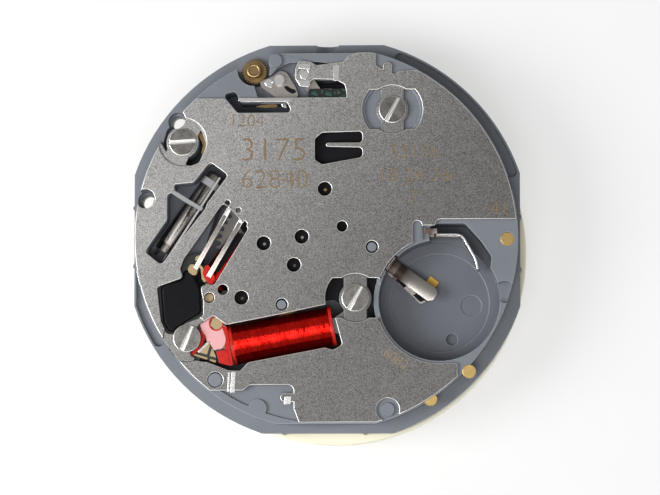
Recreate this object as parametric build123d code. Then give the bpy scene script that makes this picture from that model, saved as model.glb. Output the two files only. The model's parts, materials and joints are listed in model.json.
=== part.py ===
from build123d import *
# Slim quartz watch movement, battery side up: a moulded main plate with two
# stepping motors and their gear trains, a keyless works, the battery contacts,
# a stamped back plate, and the storage cap on which the dial side rests.
# The origin is on the centre axis at the dial seat. +Z points to the battery side
# and +Y to the winding stem.
import math
import os

# Calibre outline
calibre_radius = 11.92
flange_inset = 0.64
flange_top_inset = 0.48
flange_height = 1.80
rim_width = 0.76
body_inset = 0.66
flange_flat = calibre_radius - flange_inset
flange_top_flat = calibre_radius - flange_top_inset
body_radius = calibre_radius - rim_width
body_flat = flange_top_flat - body_inset
body_height = 3.20
lip_width = 0.14
groove_depth = 0.35
nub_radius = 0.16

# Back plate
back_inset = 0.06
back_radius = body_radius - back_inset
back_thickness = 0.20
back_bottom_inset = 0.07
well_cut_gap = 0.14
dish_depth = 0.15
dish_radius = 1.40
dish_step = 0.08
slot_corner = 0.22
notch_width = 0.53
post_hole_radius = 0.66
probe_hole_radius = 0.15
tab_width = 0.53
tab_hole_radius = 0.30
opening_radius = 1.75
opening_height = 2.30
strap_half_width = 0.68
head_eye_radius = 0.95
finger_width = 0.30
finger_drop = 0.14

# Plate screws
head_radius = 0.80
head_height = 0.18
slot_width = 0.16
slot_depth = 0.09
shank_radius = 0.34
shank_hole_radius = 0.42
screw_grip = 1.60
boss_radius = 0.80
screw_seat_radius = 1.60
posts_radius = 0.40
notch_floor = 3.00
notch_post_radius = 0.53
post_root = 0.50
edge_hole_radius = 0.50

# Heights of the train room
web_bottom = 0.50
web_top = 0.75
boss_top = 1.50
bridge_bottom = 2.42
bridge_top = 2.82
board_bottom = 2.88
board_top = 3.02
centre_bridge_bottom = 1.25
centre_bridge_top = 1.45

# Battery room
well_radius = 3.51
well_floor = 0.65
ledge_radius = 2.87
ledge_floor = 0.75
well_wall = 0.30
mark_radius = 0.61
mark_depth = 0.06
blind_radius = 0.34
blind_depth = 0.30
lobe_radius = 0.64
lobe_floor = 2.60
channel_floor = 1.00

# Keyless works
keyless_floor = 2.50
clutch_floor = 0.70
clutch_room_width = 2.10
stem_height = 1.70
stem_bore_radius = 0.45
stem_guide_radius = 0.64
stem_guide_length = 0.40
corrector_floor = 1.80
corrector_room_radius = 0.95
corrector_flange_radius = 0.76
corrector_hub_radius = 0.49
corrector_flange_height = 0.40
corrector_hub_height = 0.85
corrector_pin_radius = 0.20
corrector_pin_height = 0.60
lever_bottom = 2.55
lever_thickness = 0.20
yoke_bottom = 2.80
yoke_thickness = 0.16
yoke_tab_width = 0.16
yoke_tab_depth = 0.14
lever_pin_radius = 0.20
lever_pin_head_radius = 0.30
lever_pin_top = 3.06
clutch_radius = 0.82
clutch_length = 0.90
clutch_groove_radius = 0.60
clutch_groove_width = 0.24
clutch_square = 0.56

# Dial side
dial_foot_radius = 0.40
foot_notch_radius = 0.56
recess_gap = 0.12
guard_bottom = 0.10
guard_top = 0.20
guard_width = 4.40
guard_gap = 0.05
guard_screw_radius = 0.22
guard_head_radius = 0.42
guard_head_bottom = 0.02
guard_screw_top = 0.60
hour_disc_bottom = 0.23
hour_disc_top = 0.31
minute_pinion_bottom = 0.23
minute_disc_bottom = 0.36
minute_disc_top = 0.46
cannon_teeth_bottom = 0.34
cannon_teeth_top = 0.48
hour_pipe_radius = 0.61
hour_pipe_bore = 0.49
hour_pipe_end = 0.90
guard_pipe_hole = 1.30
cannon_radius = 0.44
cannon_end = 1.50
minute_seat_radius = 0.28
minute_seat_length = 0.56
wheel_pin_radius = 0.12
wheel_bore_radius = 0.15

# Gear train
arbor_radius = 0.14
pivot_radius = 0.09
pivot_clearance = 0.015
pivot_depth = 0.14
centre_boss_radius = 0.50
centre_boss_top = 1.00
centre_disc_bottom = 1.06
centre_disc_top = 1.18
centre_arbor_radius = 0.22
centre_hub_radius = 0.36
third_pinion_bottom = 0.98
third_pinion_top = 1.22
third_disc_bottom = 2.02
third_disc_top = 2.12
fifth_pinion_bottom = 1.99
fifth_pinion_top = 2.16
fifth_disc_bottom = 2.20
fifth_disc_top = 2.30
rotor_pinion_bottom = 2.13
rotor_pinion_top = 2.37
magnet_bottom = 1.54
magnet_top = 1.86
magnet_radius = 0.55
sub_disc_bottom = 0.84
sub_disc_top = 0.96
sub_post_radius = 0.34
sub_post_end = 0.70
sub_seat_radius = 0.17
sub_seat_length = 0.60
sub_hole_radius = 0.39
rotor_b_pinion_bottom = 0.79
rotor_b_pinion_top = 1.01
magnet_b_bottom = 1.43
magnet_b_top = 1.69
magnet_b_radius = 0.48
pillar_radius = 0.45
peg_radius = 0.27
peg_hole_radius = 0.30
peg_top = 3.38

# Motors
stator_bottom = 1.50
stator_top = 1.95
stator_arm_width = 1.10
stator_left_width = 0.42
stator_ring_radius = 1.15
stator_hole_radius = 0.75
stator_b_bottom = 1.41
stator_b_top = 1.71
stator_b_arm_width = 0.52
stator_b_ring_radius = 0.80
stator_b_hole_radius = 0.66
core_top = 2.30
core_width = 0.90
core_b_top = 2.01
core_b_width = 0.46
lug_radius = 0.80
lug_b_radius = 0.42
coil_axis_height = 2.13
drum_radius = 1.04
wire_radius = 0.065
wire_gap = 0.04
wind_pitch = 0.60
wind_half_turns = 17
wind_lead = 0.14
wind_lead_turns = 0.0833
flange_thickness = 0.18
bobbin_flange_radius = 1.20
bobbin_wall = 0.23
coil_b_axis_height = 1.87
drum_b_radius = 0.80
flange_b_radius = 0.84
bobbin_b_radius = 0.42
flange_b_thickness = 0.14
core_gap = 0.02

# Circuit and contacts
crystal_radius = 0.60
crystal_gap = 0.06
crystal_floor = 1.85
crystal_can_length = 4.95
crystal_base_length = 0.50
crystal_lead_radius = 0.09
crystal_lead_length = 0.42
crystal_lead_offset = 0.28
strap_width = 0.42
strap_thickness = 0.08
potting_top = 3.15
lead_board_top = 3.00
tongue_width = 0.88
tongue_thickness = 0.12
tongue_length = 3.20
tongue_lift = 0.55
leaf_thickness = 0.10
leaf_length = 2.40
leaf_width = 0.44
tongue_corner = 0.24
insulator_length = 0.62
insulator_width = 0.50
insulator_height = 0.08
insulator_offset = 0.62
insulator_distance = 2.42
blade_thickness = 0.15
blade_bottom = 1.20
blade_top = 2.95
foot_length = 0.31
foot_width = 0.40
foot_top = 3.10
pin_radius = 0.40
pin_root = 0.60

# Storage cap
cap_radius = 11.23
cap_height = 2.65
cap_wall = 2.73
cap_hollow_radius = cap_radius - cap_wall
cap_floor = 0.65
cap_edge = 0.40

overrun = 0.50
corner_radius = 0.35
small_corner = 0.12
running_gap = 0.05
tooth_add_share = 0.80
tooth_dip_share = 1.05

# Plan places as shares of the calibre radius
centre_place_shares = (0.0, 0.0)
screw_places_shares = [(-0.6983, 0.4702), (0.327, 0.6247), (0.1455, -0.2952), (-0.6738, -0.489)]
screw_slot_angles = [4, 61, 60, 66]
strap_angles = [67, 90, 90, 78]
third_place_shares = (-0.0032, 0.2371)
fifth_place_shares = (-0.1155, 0.0041)
sub_place_shares = (-0.3009, -0.0278)
rotor_place_shares = (-0.1538, -0.1333)
rotor_b_place_shares = (-0.4089, -0.2927)
peg_places_shares = [(0.2264, -0.0474), (-0.2126, -0.3271)]
minute_place_shares = (0.0755, 0.1007)
idler_place_shares = (0.021, 0.314)
setting_place_shares = (-0.0084, 0.5639)
spare_hole_places_shares = [(0.0807, 0.0532), (-0.4996, -0.2535), (-0.5659, -0.2927)]
flush_pin_place_shares = (-0.5355, -0.6921)
dial_foot_places_shares = [(-0.7327, 0.583), (-0.8799, 0.193)]
bottom_post_places_shares = [(-0.3304, -0.8299), (0.3025, -0.8373)]
rail_post_place_shares = (-0.2445, 0.8676)
edge_hole_place_shares = (0.8734, 0.2552)
brass_pin_places_shares = [(0.8839, -0.0106), (0.6964, -0.6523), (0.5085, -0.7858)]
corrector_place_shares = (-0.3525, 0.8259)
lever_place_shares = (-0.2274, 0.7768)
yoke_place_shares = (-0.111, 0.806)
clutch_place_shares = (0.005, 0.70)
stem_place_shares = (0.005, 0.0)
well_place_shares = (0.5527, -0.3074)
mark_place_shares = (0.7048, -0.3211)
blind_place_shares = (0.6096, -0.487)
lobe_place_shares = (0.871, -0.267)
cap_place_shares = (0.0344, -0.0596)
guard_screw_places_shares = [(-0.145, 0.157), (0.145, 0.436)]
coil_ends_shares = [(-0.4636, -0.5192), (0.0368, -0.426)]
coil_b_ends_shares = [(-0.5659, -0.2172), (-0.406, 0.0065)]
crystal_ends_shares = [(-0.5315, 0.3107), (-0.821, -0.0915)]
tongue_root_shares = (0.3206, -0.126)
tongue_tip_shares = (0.5478, -0.2976)
finger_runs_shares = [[(-0.468, 0.144), (-0.635, -0.15)], [(-0.395, 0.11), (-0.571, -0.19)]]
finger_hole_places_shares = [(-0.478, 0.171), (-0.425, 0.135), (-0.395, 0.068)]
blade_line_shares = [(0.5404, 0.0115), (0.6621, 0.0081), (0.7342, -0.1137), (0.7411, -0.1504)]
nub_places_shares = [(-0.189, 0.94), (0.206, 0.94), (-0.94, 0.159), (-0.94, -0.128), (0.94, 0.108),
              (0.94, -0.152), (-0.213, -0.94), (0.184, -0.94), (0.806, -0.571)]
groove_spans = [(20, 68), (187, 211)]

# Outlines as shares of the calibre radius
train_room_shares = [(-0.638, -0.185), (-0.529, 0.159), (-0.252, 0.302), (-0.235, 0.47), (0.227, 0.47),
              (0.252, -0.134), (0.252, -0.369), (0.193, -0.537), (-0.537, -0.671),
              (-0.763, -0.554), (-0.747, -0.419), (-0.646, -0.352)]
bridge_room_shares = [(-0.64, -0.15), (-0.445, 0.218), (-0.302, 0.411), (-0.134, 0.579), (0.151, 0.579),
               (0.26, 0.503), (0.26, -0.134), (0.252, -0.369), (0.193, -0.537),
               (-0.537, -0.671), (-0.763, -0.554), (-0.747, -0.419)]
board_room_shares = [(-0.84, -0.19), (-0.71, -0.06), (-0.497, 0.185), (-0.375, 0.046), (-0.46, -0.24),
              (-0.46, -0.38), (-0.43, -0.64), (-0.66, -0.605), (-0.80, -0.48)]
bridge_outline_shares = [(-0.49, -0.34), (-0.45, -0.215), (-0.335, -0.05), (-0.42, 0.05), (-0.40, 0.20),
                  (-0.28, 0.386), (-0.126, 0.562), (0.143, 0.562), (0.247, 0.487),
                  (0.247, -0.30), (0.13, -0.36), (0.04, -0.30)]
centre_bridge_outline_shares = [(-0.05, 0.055), (-0.16, 0.055), (-0.20, 0.0), (-0.20, -0.16),
                         (-0.265, -0.32), (-0.23, -0.38), (-0.15, -0.35), (-0.08, -0.17),
                         (0.02, -0.06), (0.19, -0.095), (0.24, -0.085), (0.248, -0.02),
                         (0.20, 0.01), (0.05, 0.045)]
shelf_outline_shares = [(0.20, -0.11), (0.27, -0.11), (0.27, 0.015), (0.20, 0.015)]
keyless_outline_shares = [(-0.312, 0.625), (-0.351, 0.749), (-0.312, 0.788), (-0.263, 0.803),
                   (-0.238, 0.832), (-0.174, 0.859), (-0.037, 0.862), (0.13, 0.842),
                   (0.13, 0.625)]
corrector_exit_shares = [(-0.43, 0.83), (-0.28, 0.83), (-0.27, 0.96), (-0.45, 0.96)]
plus_channel_shares = [(0.505, -0.02), (0.50, 0.047), (0.542, 0.067), (0.679, 0.067), (0.758, -0.022),
                (0.807, -0.095), (0.802, -0.149), (0.748, -0.208), (0.562, -0.04)]
crystal_opening_shares = [(-0.563, 0.372), (-0.475, 0.306), (-0.578, 0.168), (-0.585, 0.144),
                   (-0.801, -0.131), (-0.88, -0.067), (-0.772, 0.09), (-0.772, 0.213),
                   (-0.733, 0.227), (-0.742, 0.262), (-0.644, 0.271)]
finger_opening_shares = [(-0.497, 0.173), (-0.689, -0.101), (-0.708, -0.15), (-0.693, -0.195),
                  (-0.821, -0.239), (-0.801, -0.406), (-0.772, -0.464), (-0.733, -0.469),
                  (-0.684, -0.415), (-0.595, -0.381), (-0.595, -0.307), (-0.61, -0.234),
                  (-0.541, -0.229), (-0.375, 0.046)]
potting_outline_shares = [(-0.796, -0.219), (-0.703, -0.204), (-0.689, -0.15), (-0.644, -0.17),
                   (-0.61, -0.249), (-0.605, -0.366), (-0.684, -0.41), (-0.733, -0.46),
                   (-0.767, -0.455), (-0.792, -0.406), (-0.805, -0.249)]
coil_opening_shares = [(-0.62, -0.425), (-0.546, -0.379), (-0.482, -0.425), (-0.232, -0.376),
                (0.028, -0.322), (0.082, -0.523), (0.038, -0.548), (-0.002, -0.536),
                (-0.375, -0.607), (-0.414, -0.648), (-0.47, -0.646), (-0.661, -0.572)]
first_screw_opening_shares = [(-0.787, 0.546), (-0.806, 0.473), (-0.762, 0.394), (-0.703, 0.379),
                       (-0.664, 0.35), (-0.615, 0.37), (-0.581, 0.453), (-0.61, 0.536),
                       (-0.684, 0.541), (-0.752, 0.571)]
edge_slot_shares = [(-0.016, 0.512), (0.18, 0.517), (0.18, 0.463), (0.003, 0.463), (0.003, 0.443),
             (0.18, 0.438), (0.18, 0.392), (-0.016, 0.357), (-0.051, 0.379), (-0.051, 0.482)]
hook_slot_shares = [(-0.507, 0.705), (-0.429, 0.612), (-0.164, 0.612), (-0.188, 0.664),
             (-0.419, 0.664), (-0.438, 0.72)]
plate_arm_shares = [(-0.13, 0.8675), (-0.0716, 0.861), (-0.0442, 0.8435), (0.0868, 0.861),
             (0.113, 0.892), (0.25, 0.93), (0.30, 0.66), (0.105, 0.66), (0.1006, 0.72),
             (0.0937, 0.747), (0.0525, 0.771), (-0.0579, 0.775), (-0.0785, 0.758),
             (-0.13, 0.751), (-0.147, 0.775), (-0.147, 0.826)]
top_cut_shares = [(-1.0, 0.685), (0.19, 0.685), (0.19, 1.0), (-1.0, 1.0)]
top_notch_shares = [(0.2463, 0.96), (0.2463, 0.84), (0.2738, 0.826), (0.3356, 0.797),
             (0.3597, 0.8126), (0.4598, 0.8175), (0.50, 0.96)]
notch_line_shares = [(0.447, 0.057), (0.447, -0.02)]
tab_lines_shares = [[(0.303, 0.79), (0.303, 0.835)], [(-0.14, -0.778), (-0.197, -0.778)]]
bottom_notch_shares = [(-0.576, -0.744), (-0.399, -0.744), (-0.37, -0.717), (-0.154, -0.717),
                (-0.154, -0.832), (-0.129, -0.899), (-0.129, -0.994), (-0.664, -0.994)]
right_cut_shares = [(0.47, -0.01), (0.47, 0.0554), (0.532, 0.0554), (0.542, 0.08), (0.56, 0.086),
             (1.0, 0.086), (1.0, -1.0),
             (0.641, -1.0), (0.641, -0.612), (0.52, -0.612), (0.5527, -0.3074)]
board_outline_shares = [(-0.831, -0.201), (-0.715, -0.096), (-0.62, -0.07), (-0.612, -0.218),
                 (-0.56, -0.27), (-0.478, -0.252), (-0.49, -0.345), (-0.56, -0.395),
                 (-0.605, -0.44), (-0.61, -0.598), (-0.663, -0.587), (-0.789, -0.47)]
lead_board_outline_shares = [(-0.59, -0.455), (-0.546, -0.415), (-0.482, -0.43), (-0.502, -0.533),
                      (-0.546, -0.548), (-0.576, -0.52)]
spacer_outline_shares = [(-0.74, -0.43), (-0.62, -0.415), (-0.56, -0.43), (-0.545, -0.55),
                  (-0.60, -0.585), (-0.66, -0.575), (-0.735, -0.53)]
lever_outline_shares = [(-0.262, 0.796), (-0.227, 0.825), (-0.193, 0.816), (-0.150, 0.745),
                 (-0.13, 0.69), (-0.227, 0.679), (-0.255, 0.70), (-0.32, 0.745),
                 (-0.322, 0.772)]
yoke_outline_shares = [(-0.16, 0.80), (-0.134, 0.842), (-0.08, 0.838), (-0.065, 0.79), (-0.02, 0.722),
                (0.022, 0.72), (0.022, 0.68), (-0.06, 0.675), (-0.11, 0.75)]
stator_left_arm_shares = [(-0.1538, -0.1333), (-0.245, -0.262), (-0.32, -0.352), (-0.409, -0.3826),
                   (-0.4815, -0.396), (-0.55, -0.415), (-0.6738, -0.489)]
stator_right_arm_shares = [(-0.1538, -0.1333), (-0.03, -0.20), (0.1455, -0.2952)]
stator_b_right_arm_shares = [(-0.4089, -0.2927), (-0.335, -0.215), (-0.278, -0.10), (-0.259, -0.02),
                      (-0.30, 0.055), (-0.379, 0.045)]
stator_b_left_arm_shares = [(-0.4089, -0.2927), (-0.52, -0.285), (-0.593, -0.2545)]
core_left_lug_shares = [(-0.51, -0.5278), (-0.60, -0.53), (-0.6738, -0.489)]
core_right_lug_shares = [(0.055, -0.4226), (0.115, -0.38), (0.1455, -0.2952)]
strip_outline_shares = [(-0.085, 0.585), (0.10, 0.585), (0.10, 0.73), (-0.085, 0.73)]

# Teeth
rotor_teeth = 6
fifth_teeth = 36
fifth_pinion_teeth = 10
third_teeth = 30
third_pinion_teeth = 8
centre_teeth = 40
cannon_teeth = 10
minute_teeth = 30
minute_pinion_teeth = 8
hour_teeth = 32
idler_teeth = 40
setting_teeth = 40
rotor_b_teeth = 8
sub_teeth = 40
corrector_teeth = 28

FOOT = (Align.CENTER, Align.CENTER, Align.MIN)


def at(place):
    """Plan position of a share pair."""
    return Vector(place[0] * calibre_radius, place[1] * calibre_radius)


def post(place, radius, bottom, top):
    """Upright round bar at a plan place, between two heights."""
    spot = at(place)
    return Pos(spot.X, spot.Y, bottom) * Cylinder(radius, top - bottom, align=FOOT)


def slab(face, bottom, top):
    """Flat body of one outline between two heights."""
    return Pos(0, 0, bottom) * extrude(face, top - bottom)


def rounded(places, radius=corner_radius):
    """Closed outline with round corners, smaller where a side is short."""
    corners = [at(place) for place in places]
    edges = []
    ends = []
    for before, corner, after in zip(corners[-1:] + corners[:-1], corners,
                                     corners[1:] + corners[:1]):
        back = (before - corner).normalized()
        ahead = (after - corner).normalized()
        half = math.radians(back.get_angle(ahead)) / 2
        reach = 0.42 * min((before - corner).length, (after - corner).length)
        bend = min(radius, reach * math.tan(half))
        cut = bend / math.tan(half)
        middle = (back + ahead).normalized()
        crown = corner + middle * (bend / math.sin(half) - bend)
        edges.append(ThreePointArc(corner + back * cut, crown, corner + ahead * cut))
        ends.append((corner + back * cut, corner + ahead * cut))
    for (_, leave), (meet, _) in zip(ends, ends[1:] + ends[:1]):
        edges.append(Line(leave, meet))
    return make_face(edges)


def strap(places, width):
    """Flat strap of even width with round ends along a line of places."""
    face = None
    for start, end in zip(places, places[1:]):
        run = at(end) - at(start)
        middle = (at(end) + at(start)) * 0.5
        turn = math.degrees(math.atan2(run.Y, run.X))
        piece = Pos(middle.X, middle.Y) * Rot(Z=turn) * SlotCenterToCenter(run.length, width)
        face = piece if face is None else face + piece
    return face


def flatted(radius, side, low, high):
    """Disc with flats cut on both sides, below and above."""
    return Circle(radius) & Pos(0, (high - low) / 2) * Rectangle(2 * side, high + low)


def heading(start, end):
    """Plan angle from one place to another, in degrees."""
    run = at(end) - at(start)
    return math.degrees(math.atan2(run.Y, run.X))


def pitch_radius(teeth, other, start, end):
    """Pitch radius that fills its share of the distance between two axes."""
    return (at(end) - at(start)).length * teeth / (teeth + other)


def meshed(phase, teeth, other, start, end):
    """Turn of the next wheel that puts a gap against the first wheel's tooth."""
    toward = heading(start, end)
    shift = (phase - toward) * teeth / 360
    return toward + 180 - (shift + 0.5) * 360 / other


def gear(teeth, radius, phase, bottom, top):
    """Toothed disc about the Z axis, one straight-sided tooth per step."""
    module = 2 * radius / teeth
    tip = radius + tooth_add_share * module
    root = radius - tooth_dip_share * module
    step = 360 / teeth
    outline = []
    for number in range(teeth):
        for distance, share in ((root, -0.30), (tip, -0.11), (tip, 0.11), (root, 0.30)):
            turn = math.radians(phase + (number + share) * step)
            outline.append((distance * math.cos(turn), distance * math.sin(turn)))
    return slab(make_face(Polyline(*outline, close=True)), bottom, top)


def bar(radius, bottom, top):
    """Round bar about the Z axis."""
    return Pos(0, 0, bottom) * Cylinder(radius, top - bottom, align=FOOT)


def put(place, solid):
    """Solid made about the Z axis moved to its plan place."""
    spot = at(place)
    return Pos(spot.X, spot.Y, 0) * solid


# Pitch radii and turns of the meshing wheels
rotor_radius = pitch_radius(rotor_teeth, fifth_teeth, rotor_place_shares, fifth_place_shares)
fifth_radius = pitch_radius(fifth_teeth, rotor_teeth, rotor_place_shares, fifth_place_shares)
fifth_pinion_radius = pitch_radius(fifth_pinion_teeth, third_teeth, fifth_place_shares, third_place_shares)
third_radius = pitch_radius(third_teeth, fifth_pinion_teeth, fifth_place_shares, third_place_shares)
third_pinion_radius = pitch_radius(third_pinion_teeth, centre_teeth, third_place_shares, centre_place_shares)
centre_radius = pitch_radius(centre_teeth, third_pinion_teeth, third_place_shares, centre_place_shares)
cannon_pitch = pitch_radius(cannon_teeth, minute_teeth, centre_place_shares, minute_place_shares)
minute_radius = pitch_radius(minute_teeth, cannon_teeth, centre_place_shares, minute_place_shares)
minute_pinion_radius = pitch_radius(minute_pinion_teeth, hour_teeth, centre_place_shares,
                                    minute_place_shares)
hour_radius = pitch_radius(hour_teeth, minute_pinion_teeth, centre_place_shares, minute_place_shares)
idler_radius = (at(idler_place_shares) - at(minute_place_shares)).length - minute_radius
setting_radius = (at(setting_place_shares) - at(idler_place_shares)).length - idler_radius
rotor_b_radius = pitch_radius(rotor_b_teeth, sub_teeth, rotor_b_place_shares, sub_place_shares)
sub_radius = pitch_radius(sub_teeth, rotor_b_teeth, rotor_b_place_shares, sub_place_shares)
rotor_phase = heading(rotor_place_shares, fifth_place_shares)
fifth_phase = meshed(rotor_phase, rotor_teeth, fifth_teeth, rotor_place_shares, fifth_place_shares)
fifth_pinion_phase = heading(fifth_place_shares, third_place_shares)
third_phase = meshed(fifth_pinion_phase, fifth_pinion_teeth, third_teeth, fifth_place_shares,
                     third_place_shares)
third_pinion_phase = heading(third_place_shares, centre_place_shares)
centre_phase = meshed(third_pinion_phase, third_pinion_teeth, centre_teeth, third_place_shares,
                      centre_place_shares)
cannon_phase = heading(centre_place_shares, minute_place_shares)
minute_phase = meshed(cannon_phase, cannon_teeth, minute_teeth, centre_place_shares, minute_place_shares)
minute_pinion_phase = heading(minute_place_shares, centre_place_shares)
hour_phase = meshed(minute_pinion_phase, minute_pinion_teeth, hour_teeth, minute_place_shares,
                    centre_place_shares)
idler_phase = meshed(minute_phase, minute_teeth, idler_teeth, minute_place_shares, idler_place_shares)
setting_phase = meshed(idler_phase, idler_teeth, setting_teeth, idler_place_shares, setting_place_shares)
rotor_b_phase = heading(rotor_b_place_shares, sub_place_shares)
sub_phase = meshed(rotor_b_phase, rotor_b_teeth, sub_teeth, rotor_b_place_shares, sub_place_shares)

# Directions of the lying parts
coil_turn = heading(coil_ends_shares[0], coil_ends_shares[1])
coil_length = (at(coil_ends_shares[1]) - at(coil_ends_shares[0])).length
coil_b_turn = heading(coil_b_ends_shares[0], coil_b_ends_shares[1])
coil_b_length = (at(coil_b_ends_shares[1]) - at(coil_b_ends_shares[0])).length
crystal_turn = heading(crystal_ends_shares[0], crystal_ends_shares[1])
tongue_turn = heading(tongue_root_shares, tongue_tip_shares)


def lying(ends, turn, height):
    """Placement of a part made along +X from the first end."""
    spot = at(ends[0])
    return Pos(spot.X, spot.Y, height) * Rot(Z=turn)


def x_bar(radius, start, end):
    """Round bar along +X between two distances."""
    return Pos(start, 0, 0) * Rot(Y=90) * Cylinder(radius, end - start, align=FOOT)


def groove(span):
    """Cutter of one groove between the rim lip and the raised body."""
    outer = calibre_radius - lip_width
    reach = 2 * calibre_radius
    middle = (outer + body_radius) / 2
    count = 6
    wedge = [(0, 0)]
    for step in range(count + 1):
        turn = math.radians(span[0] + (span[1] - span[0]) * step / count)
        wedge.append((reach * math.cos(turn), reach * math.sin(turn)))
    face = (Circle(outer) - Circle(body_radius)) & make_face(Polyline(*wedge, close=True))
    for turn in span:
        angle = math.radians(turn)
        face += Pos(middle * math.cos(angle), middle * math.sin(angle)) * Circle(
            (outer - body_radius) / 2)
    face &= Rectangle(2 * (flange_flat - lip_width), 2 * (flange_flat - lip_width))
    return slab(face, flange_height - groove_depth, flange_height + overrun)


def shell_blank():
    """Flange with its grooves and nubs under the raised body."""
    rim = slab(flatted(calibre_radius, flange_flat, flange_flat, flange_top_flat), 0,
               flange_height)
    for span in groove_spans:
        rim -= groove(span)
    for place in nub_places_shares:
        rim += post(place, nub_radius, 0, flange_height)
    return rim + slab(flatted(body_radius, body_radius, body_flat, body_flat), 0, body_height)


def main_rooms():
    """Rooms cut into the main plate from the battery side."""
    top = body_height + overrun
    wall = post(well_place_shares, well_radius + well_wall, 0, top)
    rooms = slab(rounded(train_room_shares), web_top, top) - wall
    rooms += slab(rounded(bridge_room_shares), bridge_bottom, top) - wall
    rooms += slab(rounded(board_room_shares), board_bottom, top)
    rooms += slab(strap(crystal_ends_shares, 2 * (crystal_radius + crystal_gap)), crystal_floor, top)
    rooms += slab(rounded(strip_outline_shares, small_corner), board_top, top)
    for place in screw_places_shares:
        rooms += post(place, screw_seat_radius, body_height - dish_depth, top)
    rooms += post(well_place_shares, well_radius, ledge_floor, top)
    rooms += post(well_place_shares, ledge_radius, well_floor, top)
    rooms += post(mark_place_shares, mark_radius, well_floor - mark_depth, top)
    rooms += post(blind_place_shares, blind_radius, well_floor - blind_depth, top)
    rooms += post(lobe_place_shares, lobe_radius, lobe_floor, top)
    rooms += slab(rounded(plus_channel_shares), channel_floor, top)
    rooms += slab(strap([tongue_root_shares, well_place_shares], tongue_width + 4 * running_gap),
                  ledge_floor, top)
    rooms += slab(rounded(bottom_notch_shares), notch_floor, top) & bar(
        back_radius - corner_radius, 0, top)
    rooms += slab(rounded(hook_slot_shares, slot_corner), channel_floor, top)
    rooms += slab(rounded(crystal_opening_shares), crystal_floor, top)
    rooms += slab(rounded(finger_opening_shares), bridge_bottom, top)
    rooms += slab(rounded(first_screw_opening_shares), channel_floor, top) - post(
        screw_places_shares[0], head_eye_radius, 0, top)
    rooms += post(edge_hole_place_shares, edge_hole_radius, bridge_bottom, top)
    return rooms


def keyless_rooms():
    """Rooms of the winding and setting parts, and the stem bore."""
    top = body_height + overrun
    rooms = slab(rounded(keyless_outline_shares), keyless_floor, top)
    stem = at(stem_place_shares)
    low = at(keyless_outline_shares[0]).Y
    high = at(lever_place_shares).Y
    rooms += Pos(stem.X, (low + high) / 2, clutch_floor) * Box(
        clutch_room_width, high - low, top, align=FOOT)
    bore = Rot(X=-90) * Cylinder(stem_bore_radius, flange_flat, align=FOOT)
    guide = Rot(X=-90) * Cylinder(stem_guide_radius, flange_flat, align=FOOT)
    rooms += Pos(stem.X, low + overrun, stem_height) * bore
    rooms += Pos(stem.X, flange_flat - stem_guide_length, stem_height) * guide
    rooms += post(corrector_place_shares, corrector_room_radius, corrector_floor, top)
    rooms += slab(rounded(corrector_exit_shares, small_corner), corrector_floor, top)
    return rooms


def dial_rooms():
    """Rooms cut from the dial side for the hand-setting wheels and their guard."""
    guard_line = [centre_place_shares, setting_place_shares]
    rooms = slab(strap(guard_line, guard_width + 2 * guard_gap), -overrun, guard_top)
    for place, radius in ((centre_place_shares, hour_radius), (minute_place_shares, minute_radius),
                          (idler_place_shares, idler_radius), (setting_place_shares, setting_radius)):
        rooms += post(place, radius + 2 * recess_gap, -overrun, web_bottom)
    return rooms


def plate_bores():
    """Through holes and blind bores of the main plate."""
    bores = post(centre_place_shares, centre_arbor_radius + pivot_clearance, 0, body_height)
    bores += post(sub_place_shares, sub_hole_radius, -overrun, body_height)
    for place in dial_foot_places_shares:
        bores += post(place, dial_foot_radius, -overrun, body_height)
        bores += post(place, foot_notch_radius, flange_height - groove_depth, body_height + overrun)
    for place in (third_place_shares, rotor_b_place_shares):
        bores += post(place, pivot_radius + pivot_clearance, web_top - pivot_depth, web_top + overrun)
    for place in guard_screw_places_shares:
        bores += post(place, guard_screw_radius, -overrun, guard_screw_top)
    for place in screw_places_shares[:2]:
        bores += post(place, shank_radius, body_height - screw_grip - dish_depth, body_height)
    for place in screw_places_shares[2:]:
        bores += post(place, shank_radius, web_top, body_height)
    for place in brass_pin_places_shares:
        bores += post(place, pin_radius, body_height - pin_root, body_height + overrun)
    return bores


def main_plate():
    """Moulded plate that carries every other part."""
    plate = shell_blank() - main_rooms() - keyless_rooms() - dial_rooms()
    for place in screw_places_shares[2:]:
        plate += post(place, boss_radius, web_bottom, boss_top)
    plate += post(centre_place_shares, centre_boss_radius, web_bottom, centre_boss_top)
    plate += slab(rounded(shelf_outline_shares, small_corner), web_bottom, centre_bridge_bottom) - post(
        centre_place_shares, centre_radius + 2 * recess_gap, 0, body_height)
    plate += post(peg_places_shares[1], pillar_radius, web_bottom, centre_bridge_bottom)
    for place in peg_places_shares:
        plate += post(place, peg_radius, web_top, peg_top)
    for place in (minute_place_shares, idler_place_shares, setting_place_shares):
        plate += post(place, wheel_pin_radius, guard_top + pivot_clearance, web_top)
    plate += post(corrector_place_shares, corrector_pin_radius, corrector_floor - post_root,
                  corrector_floor + corrector_pin_height)
    plate += post(bottom_post_places_shares[0], notch_post_radius, notch_floor - post_root, body_height)
    for place in (bottom_post_places_shares[1], flush_pin_place_shares, rail_post_place_shares):
        plate += post(place, posts_radius, body_height - post_root, peg_top)
    return plate - plate_bores()


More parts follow.
